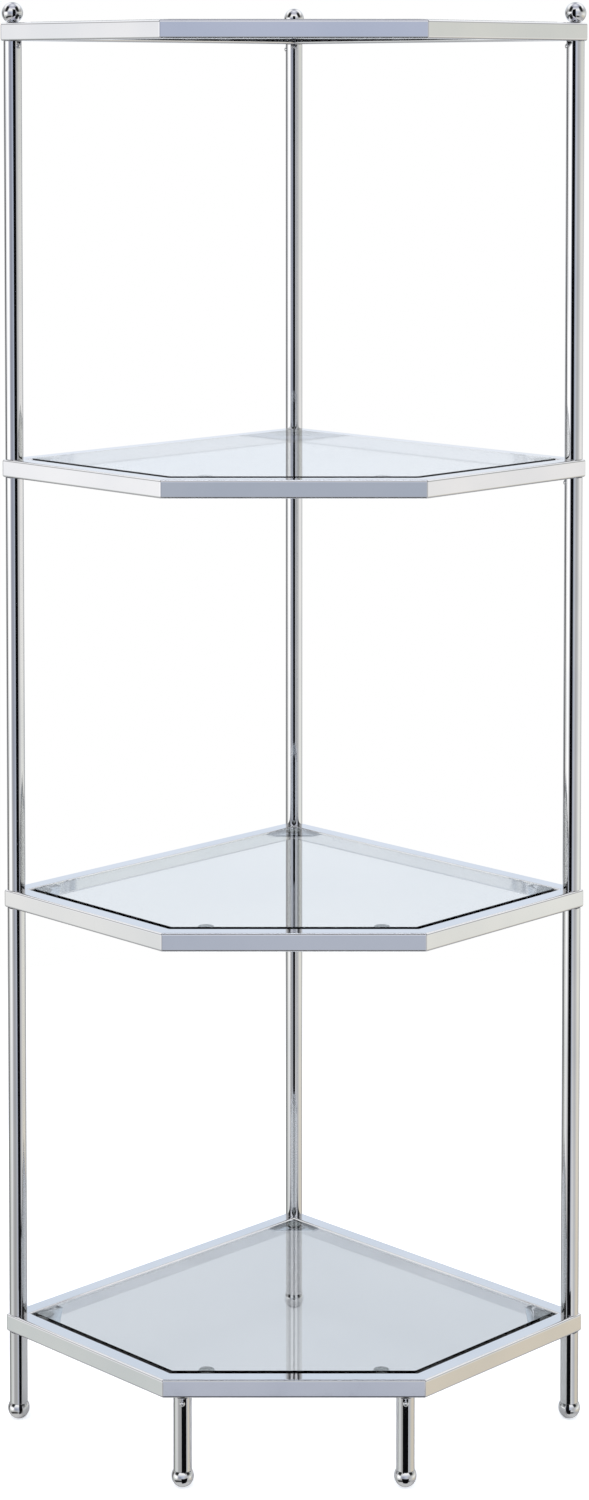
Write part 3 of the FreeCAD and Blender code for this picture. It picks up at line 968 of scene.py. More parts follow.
@dataclass
class RailFrame:
    """Five-sided frame of square tube, mitred and rounded at its corners."""

    tier: Tier
    fillet_steps: int = 5
    mitre_strip: float = 0.6 * MM

    def rails(self) -> dict[str, tuple[Point, float, float, float, float]]:
        """Rails anticlockwise from the front.

        Returns:
            Start corner, heading in degrees, length and the corner angles at both ends, by rail name.
        """
        width, front = SIZES.half_width, SIZES.front_half
        front_y, side_y, back_y = SIZES.front_y, SIZES.side_y, SIZES.back_y
        wall, side = SIZES.wall_length, SIZES.side_length
        return {
            "front": ((-front, front_y), 0.0, 2 * front, FRONT_ANGLE, FRONT_ANGLE),
            "right_side": ((front, front_y), 45.0, side, FRONT_ANGLE, WALL_ANGLE),
            "back_right": ((width, side_y), 135.0, wall, WALL_ANGLE, WALL_ANGLE),
            "back_left": ((0.0, back_y), 225.0, wall, WALL_ANGLE, WALL_ANGLE),
            "left_side": ((-width, side_y), 315.0, side, WALL_ANGLE, FRONT_ANGLE),
        }

    def section(self) -> list[Stretch]:
        """Rounded square section, going round from the outer face.

        Returns:
            Its stretches, as inward distance and height.
        """
        size, radius, steps = SIZES.rail, SIZES.rail_radius, self.fillet_steps
        near, far = radius, size - radius
        return [
            Stretch.line((0.0, -near), (0.0, -far)),
            Stretch.arc((near, -far), radius, 180, 270, steps),
            Stretch.line((near, -size), (far, -size)),
            Stretch.arc((far, -far), radius, 270, 360, steps),
            Stretch.line((size, -far), (size, -near)),
            Stretch.arc((far, -near), radius, 0, 90, steps),
            Stretch.line((far, 0.0), (near, 0.0)),
            Stretch.arc((near, -near), radius, 90, 180, steps),
        ]

    def station(self, angle: float, step: int, inward: float) -> tuple[float, float, Vector]:
        """Place on a rail near its start, seen in plan.

        Args:
            angle: corner angle in degrees.
            step: 0 on the mitre, fillet_steps where the straight part begins.
            inward: distance from the outer face.

        Returns:
            Distance along the rail, distance inward and the direction that points inwards there.
        """
        half = math.radians(angle / 2)
        radius = SIZES.rail_radius
        share = step / self.fillet_steps
        if inward >= radius:
            along = inward / math.tan(half) + share * self.mitre_strip
            return along, inward, Vector((0.0, 1.0))
        swing = half + (math.pi / 2 - half) * share
        inwards = Vector((math.cos(swing), math.sin(swing)))
        centre = Vector((radius / math.tan(half), radius))
        place = centre - inwards * (radius - inward)
        return place.x, place.y, inwards

    def rail_mesh(self, length: float, start_angle: float, end_angle: float) -> MeshMaker:
        """Mesh of one rail along +X, with its outer face towards -Y and its top at height 0.

        Args:
            length: outer length.
            start_angle: corner angle at the start, in degrees.
            end_angle: corner angle at the end, in degrees.

        Returns:
            The mesh maker with the rail.
        """
        maker = MeshMaker()
        section = self.section()
        ring = [place for stretch in section for place in stretch.places[:-1]]
        stations = [(start_angle, step, False) for step in range(self.fillet_steps + 1)]
        stations += [(end_angle, step, True) for step in range(self.fillet_steps, -1, -1)]
        rows: list[list[int]] = []
        directions: list[list[Vector]] = []
        for angle, step, at_end in stations:
            row, facing = [], []
            for inward, height in ring:
                along, across, inwards = self.station(angle, step, inward)
                if at_end:
                    along = length - along
                    inwards = Vector((-inwards.x, inwards.y))
                row.append(maker.point(Vector((along, across, height))))
                facing.append(inwards)
            rows.append(row)
            directions.append(facing)
        normals = [pair for stretch in section for pair in zip(stretch.normals, stretch.normals[1:])]
        count = len(ring)
        for row in range(len(rows) - 1):
            for spot in range(count):
                after = (spot + 1) % count
                corners = ((row, spot, 0), (row, after, 1), (row + 1, after, 1), (row + 1, spot, 0))
                shading = []
                for line, column, end in corners:
                    across, up = normals[spot][end]
                    inwards = directions[line][column]
                    shading.append(Vector((inwards.x * across, inwards.y * across, up)))
                maker.face([rows[line][column] for line, column, _ in corners], shading)
        for row, sign in ((rows[0][::-1], -1.0), (rows[-1], 1.0)):
            maker.face(row, [Vector((sign, 0.0, 0.0))] * count)
        return maker

    def build(self, shop: Workshop) -> None:
        """Make the five rails and dress them.

        Args:
            shop: shared finishes.
        """
        for name, (start, heading, length, start_angle, end_angle) in self.rails().items():
            shift = Matrix.Translation((start[0], start[1], SIZES.level(self.tier)))
            place = shift @ Matrix.Rotation(math.radians(heading), 4, "Z")
            node = f"{self.tier.word}_rail_{name}"
            piece = self.rail_mesh(length, start_angle, end_angle).make(f"{node}_polished", place)
            shop.hand_over(piece, [FRAME_CHROME], FRAME_BODY, [node])


@dataclass
class Pane:
    """Glass pane with rounded corners and ground edges, whose edge face is painted dark as shade and whose
    arrises carry a painted highlight.
    """

    tier: Tier
    corner_steps: int = 6
    arris_steps: int = 2

    def corners(self) -> list[Point]:
        """Sharp corners of the pane, anticlockwise.

        Returns:
            The corners in plan.
        """
        inset = SIZES.rail + SIZES.pane_gap
        side_x = SIZES.half_width - inset * math.sqrt(2)
        front_x = SIZES.front_half - inset / math.tan(math.radians(FRONT_ANGLE / 2))
        front_y = SIZES.front_y + inset
        return [
            (-front_x, front_y),
            (front_x, front_y),
            (side_x, SIZES.side_y),
            (0.0, SIZES.back_y - inset * math.sqrt(2)),
            (-side_x, SIZES.side_y),
        ]

    def build(self, shop: Workshop) -> None:
        """Make the pane and dress it.

        Args:
            shop: shared finishes.
        """
        corners = self.corners()
        outline = rounded_outline(corners, [SIZES.pane_corner] * len(corners), self.corner_steps)
        top = SIZES.level(self.tier) + SIZES.pane_proud
        bottom = top - SIZES.pane_thickness
        arris, steps = SIZES.pane_arris, self.arris_steps
        # The edge face gets painted shade and the arrises a painted highlight
        plate = cut_plate(outline, bottom, top, arris, steps, edge_slot=1, arris_slot=2)
        piece = plate.make(f"{self.tier.word}_glass_pane")
        piece.visible_shadow = False
        body = f"{self.tier.word}_pane"
        finishes = [PANE_GLASS, PANE_EDGE_PAINTED_DARK, PANE_ARRIS_PAINTED_BRIGHT]
        shop.hand_over(piece, finishes, body, [f"{self.tier.word}_glass"])


@dataclass
class PaneSupports:
    """Tabs, corner plates and clear pads that carry one pane."""

    tier: Tier
    edge: float = 0.4 * MM
    edge_steps: int = 3
    root_radius: float = 0.3 * MM
    tip_radius: float = 1.5 * MM
    nose_radius: float = 3 * MM
    plate_steps: int = 4
    tab_roundness: float = 0.995
    tab_steps: int = 12
    pad_rim: float = 0.45 * MM
    rim_steps: int = 4
    pad_steps: int = 48

    def corner_places(self, out: float) -> list[tuple[Vector, float]]:
        """Places on the lines that halve the square corners of the frame.

        Args:
            out: distance from the inner corner.

        Returns:
            Places at the tabs' height, with the heading of the corner in degrees.
        """
        height = SIZES.tab_level(self.tier)
        reach = SIZES.rail * math.sqrt(2) + out
        return [
            (Vector((0.0, SIZES.back_y - reach, height)), 225.0),
            (Vector((-SIZES.half_width + reach, SIZES.side_y, height)), 315.0),
            (Vector((SIZES.half_width - reach, SIZES.side_y, height)), 135.0),
        ]

    def front_places(self, out: float) -> list[tuple[Vector, float]]:
        """Places at the two front tabs.

        Args:
            out: distance from the front rail's inner face.

        Returns:
            Places at the tabs' height, with no turn.
        """
        height = SIZES.tab_level(self.tier)
        across = SIZES.tab_spacing / 2
        depth = SIZES.front_y + SIZES.rail + out
        return [(Vector((side * across, depth, height)), 0.0) for side in (-1, 1)]

    def plate(self, name: str, outline: Sequence[tuple[Vector, Vector]]) -> bpy.types.Object:
        """Plate of the tabs' thickness, with its top at height 0."""
        return cut_plate(outline, -SIZES.tab_thickness, 0.0, self.edge, self.edge_steps).make(name)

    def corner_plate(self) -> bpy.types.Object:
        """Plate for a square corner, with its free corner cut off.

        Returns:
            The plate, with its square corner at the origin.
        """
        leg, nose = SIZES.plate_leg, SIZES.plate_nose
        corners = [(0.0, 0.0), (leg, 0.0), (leg, nose), (nose, leg), (0.0, leg)]
        radii = [self.root_radius, self.tip_radius, self.nose_radius, self.nose_radius, self.tip_radius]
        return self.plate("corner_plate", rounded_outline(corners, radii, self.plate_steps))

    def front_tab(self) -> bpy.types.Object:
        """Round-nosed tab that stands out from the front rail.

        Returns:
            The tab, with the middle of its root at the origin.
        """
        half, reach = SIZES.tab_width / 2, SIZES.tab_reach
        corners = [(-half, 0.0), (half, 0.0), (half, reach), (-half, reach)]
        radii = [self.root_radius] * 2 + [half * self.tab_roundness] * 2
        return self.plate("front_tab", rounded_outline(corners, radii, self.tab_steps))

    def pad(self) -> bpy.types.Object:
        """Clear round pad with rounded rims.

        Returns:
            The pad, standing at the origin.
        """
        radius, height, rim = SIZES.pad_radius, SIZES.pad_thickness, self.pad_rim
        profile = [
            Stretch.line((0.0, 0.0), (radius - rim, 0.0)),
            Stretch.arc((radius - rim, rim), rim, -90, 0, self.rim_steps),
            Stretch.line((radius, rim), (radius, height - rim)),
            Stretch.arc((radius - rim, height - rim), rim, 0, 90, self.rim_steps),
            Stretch.line((radius - rim, height), (0.0, height)),
        ]
        return turn_on_lathe(profile, self.pad_steps, closed=False).make("pad")

    def build(self, shop: Workshop, spreader: Spreader) -> None:
        """Make the tabs and the pads of this tier and dress them.

        Args:
            shop: shared finishes.
            spreader: tree that sets copies on places.
        """
        word = self.tier.word
        steel, clear = shop.finish(TAB_STEEL), shop.finish(PAD_PLASTIC)
        corners, fronts = self.corner_places(0.0), self.front_places(0.0)
        plates = spreader.spread(f"{word}_corner_plates", self.corner_plate(), corners, steel)
        tabs = spreader.spread(f"{word}_front_tabs", self.front_tab(), fronts, steel)
        on_plate = (SIZES.plate_leg + SIZES.plate_nose) / 2 / math.sqrt(2)
        on_tab = SIZES.tab_reach - SIZES.tab_width / 2
        places = self.corner_places(on_plate) + self.front_places(on_tab)
        pads = spreader.spread(f"{word}_pads", self.pad(), places, clear)
        pads.visible_shadow = False
        shop.hand_over(plates, [TAB_STEEL], FRAME_BODY, [f"{word}_glass_tabs"])
        shop.hand_over(tabs, [TAB_STEEL], FRAME_BODY, [f"{word}_glass_tabs"])
        shop.hand_over(pads, [PAD_PLASTIC], FRAME_BODY, [f"{word}_glass_pads"])


@dataclass
class ChromeTube:
    """Round tube of a post or leg, open at both ends."""

    node: str
    corner: Corner
    bottom: float
    top: float
    pin_turn: float
    rim: float = 0.35 * MM
    rim_steps: int = 3
    steps: int = 96

    def profile(self) -> list[Stretch]:
        """Wall of the tube with softened rims, going up on the outside.

        Returns:
            The stretches of the wall.
        """
        outer, inner, rim = SIZES.tube_radius, SIZES.tube_radius - SIZES.tube_wall, self.rim
        low, high = self.bottom, self.top
        return [
            Stretch.arc((outer - rim, low + rim), rim, -90, 0, self.rim_steps),
            Stretch.line((outer, low + rim), (outer, high - rim)),
            Stretch.arc((outer - rim, high - rim), rim, 0, 90, self.rim_steps),
            Stretch.line((outer - rim, high), (inner, high)),
            Stretch.line((inner, high), (inner, low)),
            Stretch.line((inner, low), (outer - rim, low)),
        ]

    def build(self, shop: Workshop) -> None:
        """Make the tube and dress it.

        Args:
            shop: shared finishes.
        """
        x, y = SIZES.axis(self.corner)
        maker = turn_on_lathe(self.profile(), self.steps, closed=True)
        piece = maker.make(f"{self.node}_tube", Matrix.Translation((x, y, 0.0)))
        shop.hand_over(piece, [TUBE_CHROME], FRAME_BODY, [self.node])


@dataclass
class ChromeBalls:
    """Turned balls: finials on the top frame and feet under the legs."""

    steps: int = 72
    rings: int = 40

    def finial(self) -> bpy.types.Object:
        """Ball on a small flat base.

        Returns:
            The ball, standing at the origin.
        """
        radius, base = SIZES.finial_radius, SIZES.finial_base
        centre = math.sqrt(radius ** 2 - base ** 2)
        start = -math.degrees(math.acos(base / radius))
        profile = [
            Stretch.line((0.0, 0.0), (base, 0.0)),
            Stretch.arc((0.0, centre), radius, start, 90, self.rings),
        ]
        return turn_on_lathe(profile, self.steps, closed=False).make("finial")

    def foot(self) -> bpy.types.Object:
        """Ball with a flat to rest on and a flat that the leg stands on.

        Returns:
            The ball, standing at the origin.
        """
        radius, rest, tube = SIZES.foot_radius, SIZES.foot_rest, SIZES.tube_radius
        centre = math.sqrt(radius ** 2 - rest ** 2)
        start = -math.degrees(math.acos(rest / radius))
        end = math.degrees(math.acos(tube / radius))
        top = SIZES.foot_top
        profile = [
            Stretch.line((0.0, 0.0), (rest, 0.0)),
            Stretch.arc((0.0, centre), radius, start, end, self.rings),
            Stretch.line((tube, top), (0.0, top)),
        ]
        return turn_on_lathe(profile, self.steps, closed=False).make("foot")

    def build(self, shop: Workshop, spreader: Spreader) -> None:
        """Make the finials and the feet and dress them.

        Args:
            shop: shared finishes.
            spreader: tree that sets copies on places.
        """
        chrome = shop.finish(BALL_CHROME)
        kinds = (
            ("finial", self.finial, POST_CORNERS, SIZES.level(Tier.TOP)),
            ("foot", self.foot, Corner, 0.0),
        )
        for kind, ball, corners, height in kinds:
            for corner in corners:
                node = f"{corner.value}_{kind}"
                place = Vector((*SIZES.axis(corner), height))
                piece = spreader.spread(f"{node}_ball", ball(), [(place, 0.0)], chrome)
                shop.hand_over(piece, [BALL_CHROME], FRAME_BODY, [node])


def tubes() -> list[ChromeTube]:
    """All posts and legs, with the way that each lock pin faces in degrees from the front.

    Returns:
        The tubes.
    """
    post_turns = {
        Corner.LEFT: (170.0, 160.0, 46.0),
        Corner.RIGHT: (200.0, -75.0, -85.0),
        Corner.BACK: (190.0, 170.0, -80.0),
    }
    leg_turns = {
        Corner.LEFT: 150.0,
        Corner.RIGHT: 210.0,
        Corner.BACK: 180.0,
        Corner.FRONT_LEFT: 0.0,
        Corner.FRONT_RIGHT: 0.0,
    }
    made = []
    for corner, turns in post_turns.items():
        for bay, turn in zip(Bay, turns):
            low = SIZES.level(Tier(bay.value))
            high = SIZES.level(Tier(bay.value + 1)) - SIZES.rail
            node = f"{corner.value}_post_{bay.name.lower()}"
            made.append(ChromeTube(node, corner, low, high, turn))
    under = SIZES.bottom_height - SIZES.rail
    for corner, turn in leg_turns.items():
        made.append(ChromeTube(f"{corner.value}_leg", corner, SIZES.foot_top, under, turn))
    return made


@dataclass
class LockPins:
    """Small domed pins near the upper end of each tube."""

    steps: int = 36
    dome_steps: int = 10

    def pin(self) -> bpy.types.Object:
        """Pin that points to -Y from the axis of its tube.

        Returns:
            The pin, with the tube's axis at the origin.
        """
        radius, proud = SIZES.pin_radius, SIZES.pin_proud
        dome = (radius ** 2 + proud ** 2) / (2 * proud)
        crown = SIZES.tube_radius + proud
        edge = math.degrees(math.acos(radius / dome))
        root = SIZES.stud_hole + SIZES.pin_clearance
        profile = [
            Stretch.line((0.0, root), (radius, root)),
            Stretch.line((radius, root), (radius, SIZES.tube_radius)),
            Stretch.arc((0.0, crown - dome), dome, edge, 90, self.dome_steps),
        ]
        lying = Matrix.Rotation(math.radians(90), 4, "X")
        return turn_on_lathe(profile, self.steps, closed=False).make("lock_pin", lying)

    def build(self, shop: Workshop, spreader: Spreader, carriers: Iterable[ChromeTube]) -> None:
        """Make one pin for each tube and dress them.

        Args:
            shop: shared finishes.
            spreader: tree that sets copies on places.
            carriers: the tubes.
        """
        places = []
        for tube in carriers:
            x, y = SIZES.axis(tube.corner)
            places.append((Vector((x, y, tube.top - SIZES.pin_drop)), tube.pin_turn))
        piece = spreader.spread("lock_pins", self.pin(), places, shop.finish(PIN_CHROME))
        shop.hand_over(piece, [PIN_CHROME], FRAME_BODY, ["tube_lock_pins"])


@dataclass
class HiddenFixings:
    """Plugs and studs inside the tubes, which keep their CAD shape."""

    nodes: dict[str, bpy.types.Object]

    def dress(self, shop: Workshop) -> None:
        """Give the plugs and studs their finishes.

        Args:
            shop: shared finishes.
        """
        finishes = {
            "post_end_plugs": PLUG_STEEL,
            "leg_end_plugs": PLUG_STEEL,
            "corner_studs": STUD_STEEL,
            "foot_studs": STUD_STEEL,
            "front_leg_studs": STUD_STEEL,
        }
        for node, finish in finishes.items():
            mesh = self.nodes[node].data
            mesh.materials.clear()
            mesh.materials.append(shop.finish(finish))
            LOG.info("%s dressed", node)


def colour(shade: Shade) -> Colour:
    """Full colour of a card's shade, which is one number where the card is grey."""
    red, green, blue = (shade,) * 3 if isinstance(shade, float) else shade
    return (red, green, blue, 1.0)


def card(first: float, last: float, shade: Shade) -> tuple[Card, Card]:
    """Both ends of a card that has one shade from one bearing to another."""
    return (first, shade), (last, shade)


def mirrored(*half: Card) -> tuple[Card, ...]:
    """Cards of the right half, given from the front to the back, with the same cards on the left."""
    left = [(-bearing, shade) for bearing, shade in reversed(half) if bearing > 0]
    return (*left, *half)


@dataclass(frozen=True)
class CardRing:
    """Ring of soft studio cards at one elevation, by bearing in degrees: 0 is the camera, 90 the right."""

    elevation: float
    cards: tuple[Card, ...]


LEFT_STRIPES = (*card(-150.0, -142.0, 0.12), *card(-138.0, -131.0, 0.70), (-127.0, 0.12))
RIGHT_STRIPES = (*card(152.0, 160.0, 0.25), (168.0, 0.90))
LOW_CARDS = (
    (-180.0, 0.45),
    *card(-150.0, -142.0, 0.20),
    *card(-138.0, -131.0, 0.66),
    *card(-127.0, -112.0, 0.20),
    *card(-102.0, -84.0, (0.72, 0.75, 0.72)),
    (-70.0, 0.84),
    (-52.0, 0.50),
    (-30.0, 0.42),
    (-10.0, 0.50),
    *card(-3.0, 5.0, (0.545, 0.577, 0.66)),
    *card(12.0, 26.0, 0.80),
    (48.0, (0.54, 0.56, 0.60)),
    *card(84.0, 102.0, (0.78, 0.71, 0.58)),
    (125.0, (0.60, 0.56, 0.50)),
    (150.0, 0.35),
    (180.0, 0.45),
)
SKIRT_CARDS = (
    *card(-180.0, -105.0, 0.50),
    *card(-84.0, -14.0, 0.03),
    *card(-6.0, 6.0, 0.30),
    *card(14.0, 34.0, 0.03),
    *card(60.0, 180.0, 0.50),
)
CARD_RINGS = (
    CardRing(-90.0, mirrored((180.0, 0.62))),
    CardRing(-52.0, mirrored((180.0, 0.62))),
    CardRing(-43.0, SKIRT_CARDS),
    CardRing(-34.0, SKIRT_CARDS),
    CardRing(-26.0, LOW_CARDS),
    CardRing(-21.0, LOW_CARDS),
    CardRing(-14.0, (
        (-180.0, (0.80, 0.90, 1.00)),
        *LEFT_STRIPES,
        (-108.0, 0.10),
        *card(-101.0, -85.0, (0.98, 0.98, 0.95)),
        *card(-78.0, -60.0, 1.25),
        (-44.0, 0.50),
        (-26.0, (0.36, 0.38, 0.44)),
        (-9.0, (0.44, 0.47, 0.54)),
        *card(-3.0, 5.0, (0.515, 0.557, 0.643)),
        (14.0, (0.64, 0.66, 0.70)),
        (36.0, 0.46),
        (62.0, 0.66),
        *card(82.0, 104.0, (0.95, 0.96, 0.90)),
        (140.0, 0.60),
        (156.0, 0.25),
        (180.0, (0.80, 0.90, 1.00)),
    )),
    CardRing(-7.0, (
        (-180.0, (0.90, 0.95, 1.02)),
        (-160.0, (0.88, 0.92, 1.00)),
        *LEFT_STRIPES,
        (-107.0, 0.09),
        *card(-100.0, -85.0, 1.10),
        *card(-78.0, -58.0, 1.40),
        (-42.0, (0.44, 0.45, 0.52)),
        (-24.0, (0.33, 0.35, 0.42)),
        (-9.0, (0.40, 0.43, 0.50)),
        *card(-3.0, 5.0, (0.476, 0.52, 0.60)),
        (14.0, (0.62, 0.64, 0.68)),
        (36.0, 0.46),
        (62.0, 0.64),
        *card(82.0, 104.0, (1.01, 0.99, 0.96)),
        (140.0, 0.80),
        *RIGHT_STRIPES,
        (180.0, (0.90, 0.95, 1.02)),
    )),
    CardRing(2.0, (
        (-180.0, (0.90, 0.94, 1.00)),
        (-160.0, (0.88, 0.92, 1.00)),
        *LEFT_STRIPES,
        (-107.0, 0.09),
        *card(-100.0, -85.0, 1.02),
        *card(-78.0, -56.0, 1.40),
        (-42.0, (0.44, 0.45, 0.52)),
        (-24.0, (0.33, 0.35, 0.42)),
        (-9.0, (0.44, 0.48, 0.60)),
        *card(-3.0, 5.0, (0.55, 0.60, 0.74)),
        (14.0, (0.66, 0.68, 0.74)),
        (36.0, 0.50),
        (62.0, 0.64),
        *card(82.0, 104.0, (0.75, 0.76, 0.69)),
        (140.0, 0.74),
        *RIGHT_STRIPES,
        (180.0, (0.90, 0.94, 1.00)),
    )),
    CardRing(14.0, mirrored(
        (0.0, (0.64, 0.68, 0.78)),
        (44.0, (0.70, 0.73, 0.80)),
        *card(56.0, 80.0, 0.03),
        *card(88.0, 110.0, 0.40),
        *card(120.0, 140.0, 0.62),
        (152.0, (0.79, 0.86, 0.95)),
        (180.0, (0.81, 0.885, 0.99)),
    )),
    CardRing(24.0, mirrored(
        (42.0, 1.0),
        *card(50.0, 80.0, 0.03),
        *card(88.0, 110.0, 0.50),
        *card(120.0, 140.0, 0.62),
        (152.0, (0.755, 0.835, 0.915)),
        (180.0, (0.765, 0.845, 0.94)),
    )),
    CardRing(36.0, mirrored(
        (38.0, 1.1),
        *card(46.0, 86.0, 0.02),
        *card(97.0, 162.0, 1.15),
        *card(172.0, 180.0, 0.36),
    )),
    CardRing(54.0, mirrored(
        (42.0, (0.62, 0.63, 0.72)),
        *card(50.0, 100.0, 0.02),
        *card(112.0, 162.0, 1.10),
        *card(172.0, 180.0, (0.50, 0.51, 0.60)),
    )),
    CardRing(70.0, mirrored((180.0, (0.52, 0.53, 0.63)))),
    CardRing(86.0, mirrored((180.0, (0.92, 0.94, 1.0)))),
)


@dataclass
class PhotoCamera:
    """Camera in front of the shelf, tilted and shifted down as the photograph is framed."""

    image_width: int = 589
    image_height: int = 1500
    focal_pixels: float = 3143.7
    centre_column: float = 294.0
    distance: float = 3.1103
    height: float = 1.4215
    pitch: float = 3.0
    shift: float = -0.335
    sensor: Point = (32.0, 36.0)

    def build(self) -> None:
        """Make the camera and give it to the scene."""
        data = bpy.data.cameras.new("camera")
        data.sensor_fit = "VERTICAL"
        data.sensor_width, data.sensor_height = self.sensor
        data.lens = self.focal_pixels / self.image_height * data.sensor_height
        data.shift_y = self.shift
        data.shift_x = (self.image_width / 2 - self.centre_column) / self.image_height
        camera = bpy.data.objects.new("camera", data)
        camera.location = (0.0, SIZES.front_y - self.distance, self.height)
        camera.rotation_euler = (math.radians(90 - self.pitch), 0.0, 0.0)
        bpy.context.scene.collection.objects.link(camera)
        bpy.context.scene.camera = camera


@dataclass
class StudioFloor:
    """Plain pale floor that keeps the shelf's shadow and fades into the white backdrop.

    Chrome shows only the floor under the shelf, and chrome behind a pane also the floor near it. The rest
    is left to the studio cards. Each fade is a pair of distances from the middle of the shelf.
    """

    reach: float = 6.0
    roughness: float = 0.9
    paint: Colour = (0.80, 0.80, 0.805, 1.0)
    no_paint: Colour = (0.0, 0.0, 0.0, 1.0)
    paint_fade: Point = (0.8, 1.7)
    # Through the panes the floor near the shelf loses most of its lit paint and glows dimmer and a little
    # blue instead: painted shade under the shelf
    paint_lost_through_glass: float = 0.75
    near_glow: Colour = (0.962, 0.993, 1.048, 1.0)
    far_glow: Colour = (1.0, 1.0, 1.0, 1.0)
    open_glow: float = 0.65
    open_fade: Point = (0.5, 1.5)
    glass_glow: float = 0.60
    glass_fade: Point = (0.6, 1.7)
    chrome_glow: float = 0.15
    chrome_fade: Point = (0.5, 0.8)
    edge_soft: float = 0.02
    side_soft: float = 0.015

    def under_shelf(self, bench: NodeBench, place: Socket) -> Socket:
        """Mask of the floor inside the outline of the shelf.

        Args:
            bench: bench of the floor's material.
            place: coordinates on the floor.

        Returns:
            The mask.
        """
        parts = bench.split(place)
        across, deep = bench.calc("ABSOLUTE", parts["X"]), parts["Y"]
        side = SIZES.half_width - SIZES.side_y
        outwards, backwards = bench.calc("SUBTRACT", across, deep), bench.calc("ADD", across, deep)
        front = bench.fade(deep, SIZES.front_y, SIZES.front_y + self.edge_soft)
        sides = bench.fade(outwards, side - self.side_soft, side, 1.0, 0.0)
        walls = bench.fade(backwards, SIZES.back_y, SIZES.back_y + self.edge_soft, 1.0, 0.0)
        return bench.fold("MINIMUM", front, sides, walls)

    def build(self) -> None:
        """Make the floor and its paint."""
        reach = self.reach
        corners = [(-reach, -reach, 0.0), (reach, -reach, 0.0), (reach, reach, 0.0), (-reach, reach, 0.0)]
        plane = flat_sheet("floor", corners, (0, 0, 1))
        material, bench, shader = node_material("floor_paint")
        place, path = bench.place(), bench.path()
        length = bench.add("ShaderNodeVectorMath", operation="LENGTH")
        bench.feed(length.inputs[0], place)
        away = length.outputs["Value"]
        distant = bench.fade(away, *self.paint_fade)
        # Painted shade under the shelf: through the panes the lit paint mostly gives way to a dimmer,
        # slightly blue glow near the shelf
        even = bench.calc("MULTIPLY", path["Is Transmission Ray"], self.paint_lost_through_glass)
        unpainted = bench.calc("MAXIMUM", distant, even)
        in_open = bench.fade(away, *self.open_fade, self.open_glow, 1.0)
        in_glass = bench.fade(away, *self.glass_fade, self.glass_glow, 1.0)
        past_glass = bench.calc("GREATER_THAN", path["Transmission Depth"], ONE_BOUNCE)
        behind = bench.calc("MULTIPLY", past_glass, bench.fade(away, *self.chrome_fade, 1.0, 0.0))
        direct = bench.calc("SUBTRACT", 1.0, path["Is Glossy Ray"])
        bench.fill(shader, {
            "Roughness": self.roughness,
            "Specular IOR Level": 0.0,
            "Base Color": bench.mix(unpainted, self.paint, self.no_paint),
            "Emission Color": bench.mix(distant, self.near_glow, self.far_glow),
            "Emission Strength": bench.fold(
                "MAXIMUM",
                bench.calc("MULTIPLY", in_open, path["Is Camera Ray"]),
                bench.calc("MULTIPLY", in_glass, path["Is Transmission Ray"]),
                bench.calc("MULTIPLY", behind, self.chrome_glow),
            ),
            "Alpha": bench.fold("MAXIMUM", self.under_shelf(bench, place), behind, direct, bench.seen()),
        })
        plane.data.materials.append(material)


@dataclass
class CardRoom:
    """White backdrop for the camera and the glass, and rings of soft cards for the chrome."""

    backdrop: Colour = (1.0, 1.0, 1.0, 1.0)
    soft_light: Colour = (0.98, 0.99, 1.0, 1.0)
    soft_strength: float = 0.6

    @staticmethod
    def ring(bench: NodeBench, ring: CardRing, share: Socket) -> Socket:
        """Colours of one ring of cards.

        Args:
            bench: bench of the world.
            ring: the ring.
            share: bearing, from 0 at the back through the left, the front and the right to 1.

        Returns:
            The ring's colour at that bearing.
        """
        node = bench.add("ShaderNodeValToRGB", {"Fac": share})
        elements = node.color_ramp.elements
        first, *between, last = ring.cards
        elements[0].color = colour(first[1])
        elements[-1].color = colour(last[1])
        for bearing, shade in between:
            elements.new((bearing + HALF_TURN) / (2 * HALF_TURN)).color = colour(shade)
        return node.outputs["Color"]

    def build(self) -> None:
        """Make the world and give it to the scene."""
        world = bpy.data.worlds.new("studio")
        bpy.context.scene.world = world
        world.use_nodes = True
        world.node_tree.nodes.clear()
        bench = NodeBench(world.node_tree)
        parts = bench.split(bench.add("ShaderNodeTexCoord").outputs["Generated"])
        front = bench.calc("MULTIPLY", parts["Y"], -1.0)
        share = bench.fade(bench.calc("ARCTAN2", parts["X"], front), -math.pi, math.pi)
        shade = self.ring(bench, CARD_RINGS[0], share)
        for below, above in zip(CARD_RINGS, CARD_RINGS[1:]):
            span = [math.sin(math.radians(ring.elevation)) for ring in (below, above)]
            shade = bench.mix(bench.fade(parts["Z"], *span), shade, self.ring(bench, above, share))
        lights = ((shade, 1.0), (self.backdrop, 1.0), (self.soft_light, self.soft_strength))
        mirror, plain, soft = (
            bench.add("ShaderNodeBackground", {"Color": tone, "Strength": strength}).outputs[0]
            for tone, strength in lights
        )
        lit = bench.choose(bench.path()["Is Glossy Ray"], soft, mirror)
        bench.add("ShaderNodeOutputWorld", {"Surface": bench.choose(bench.seen(), lit, plain)})


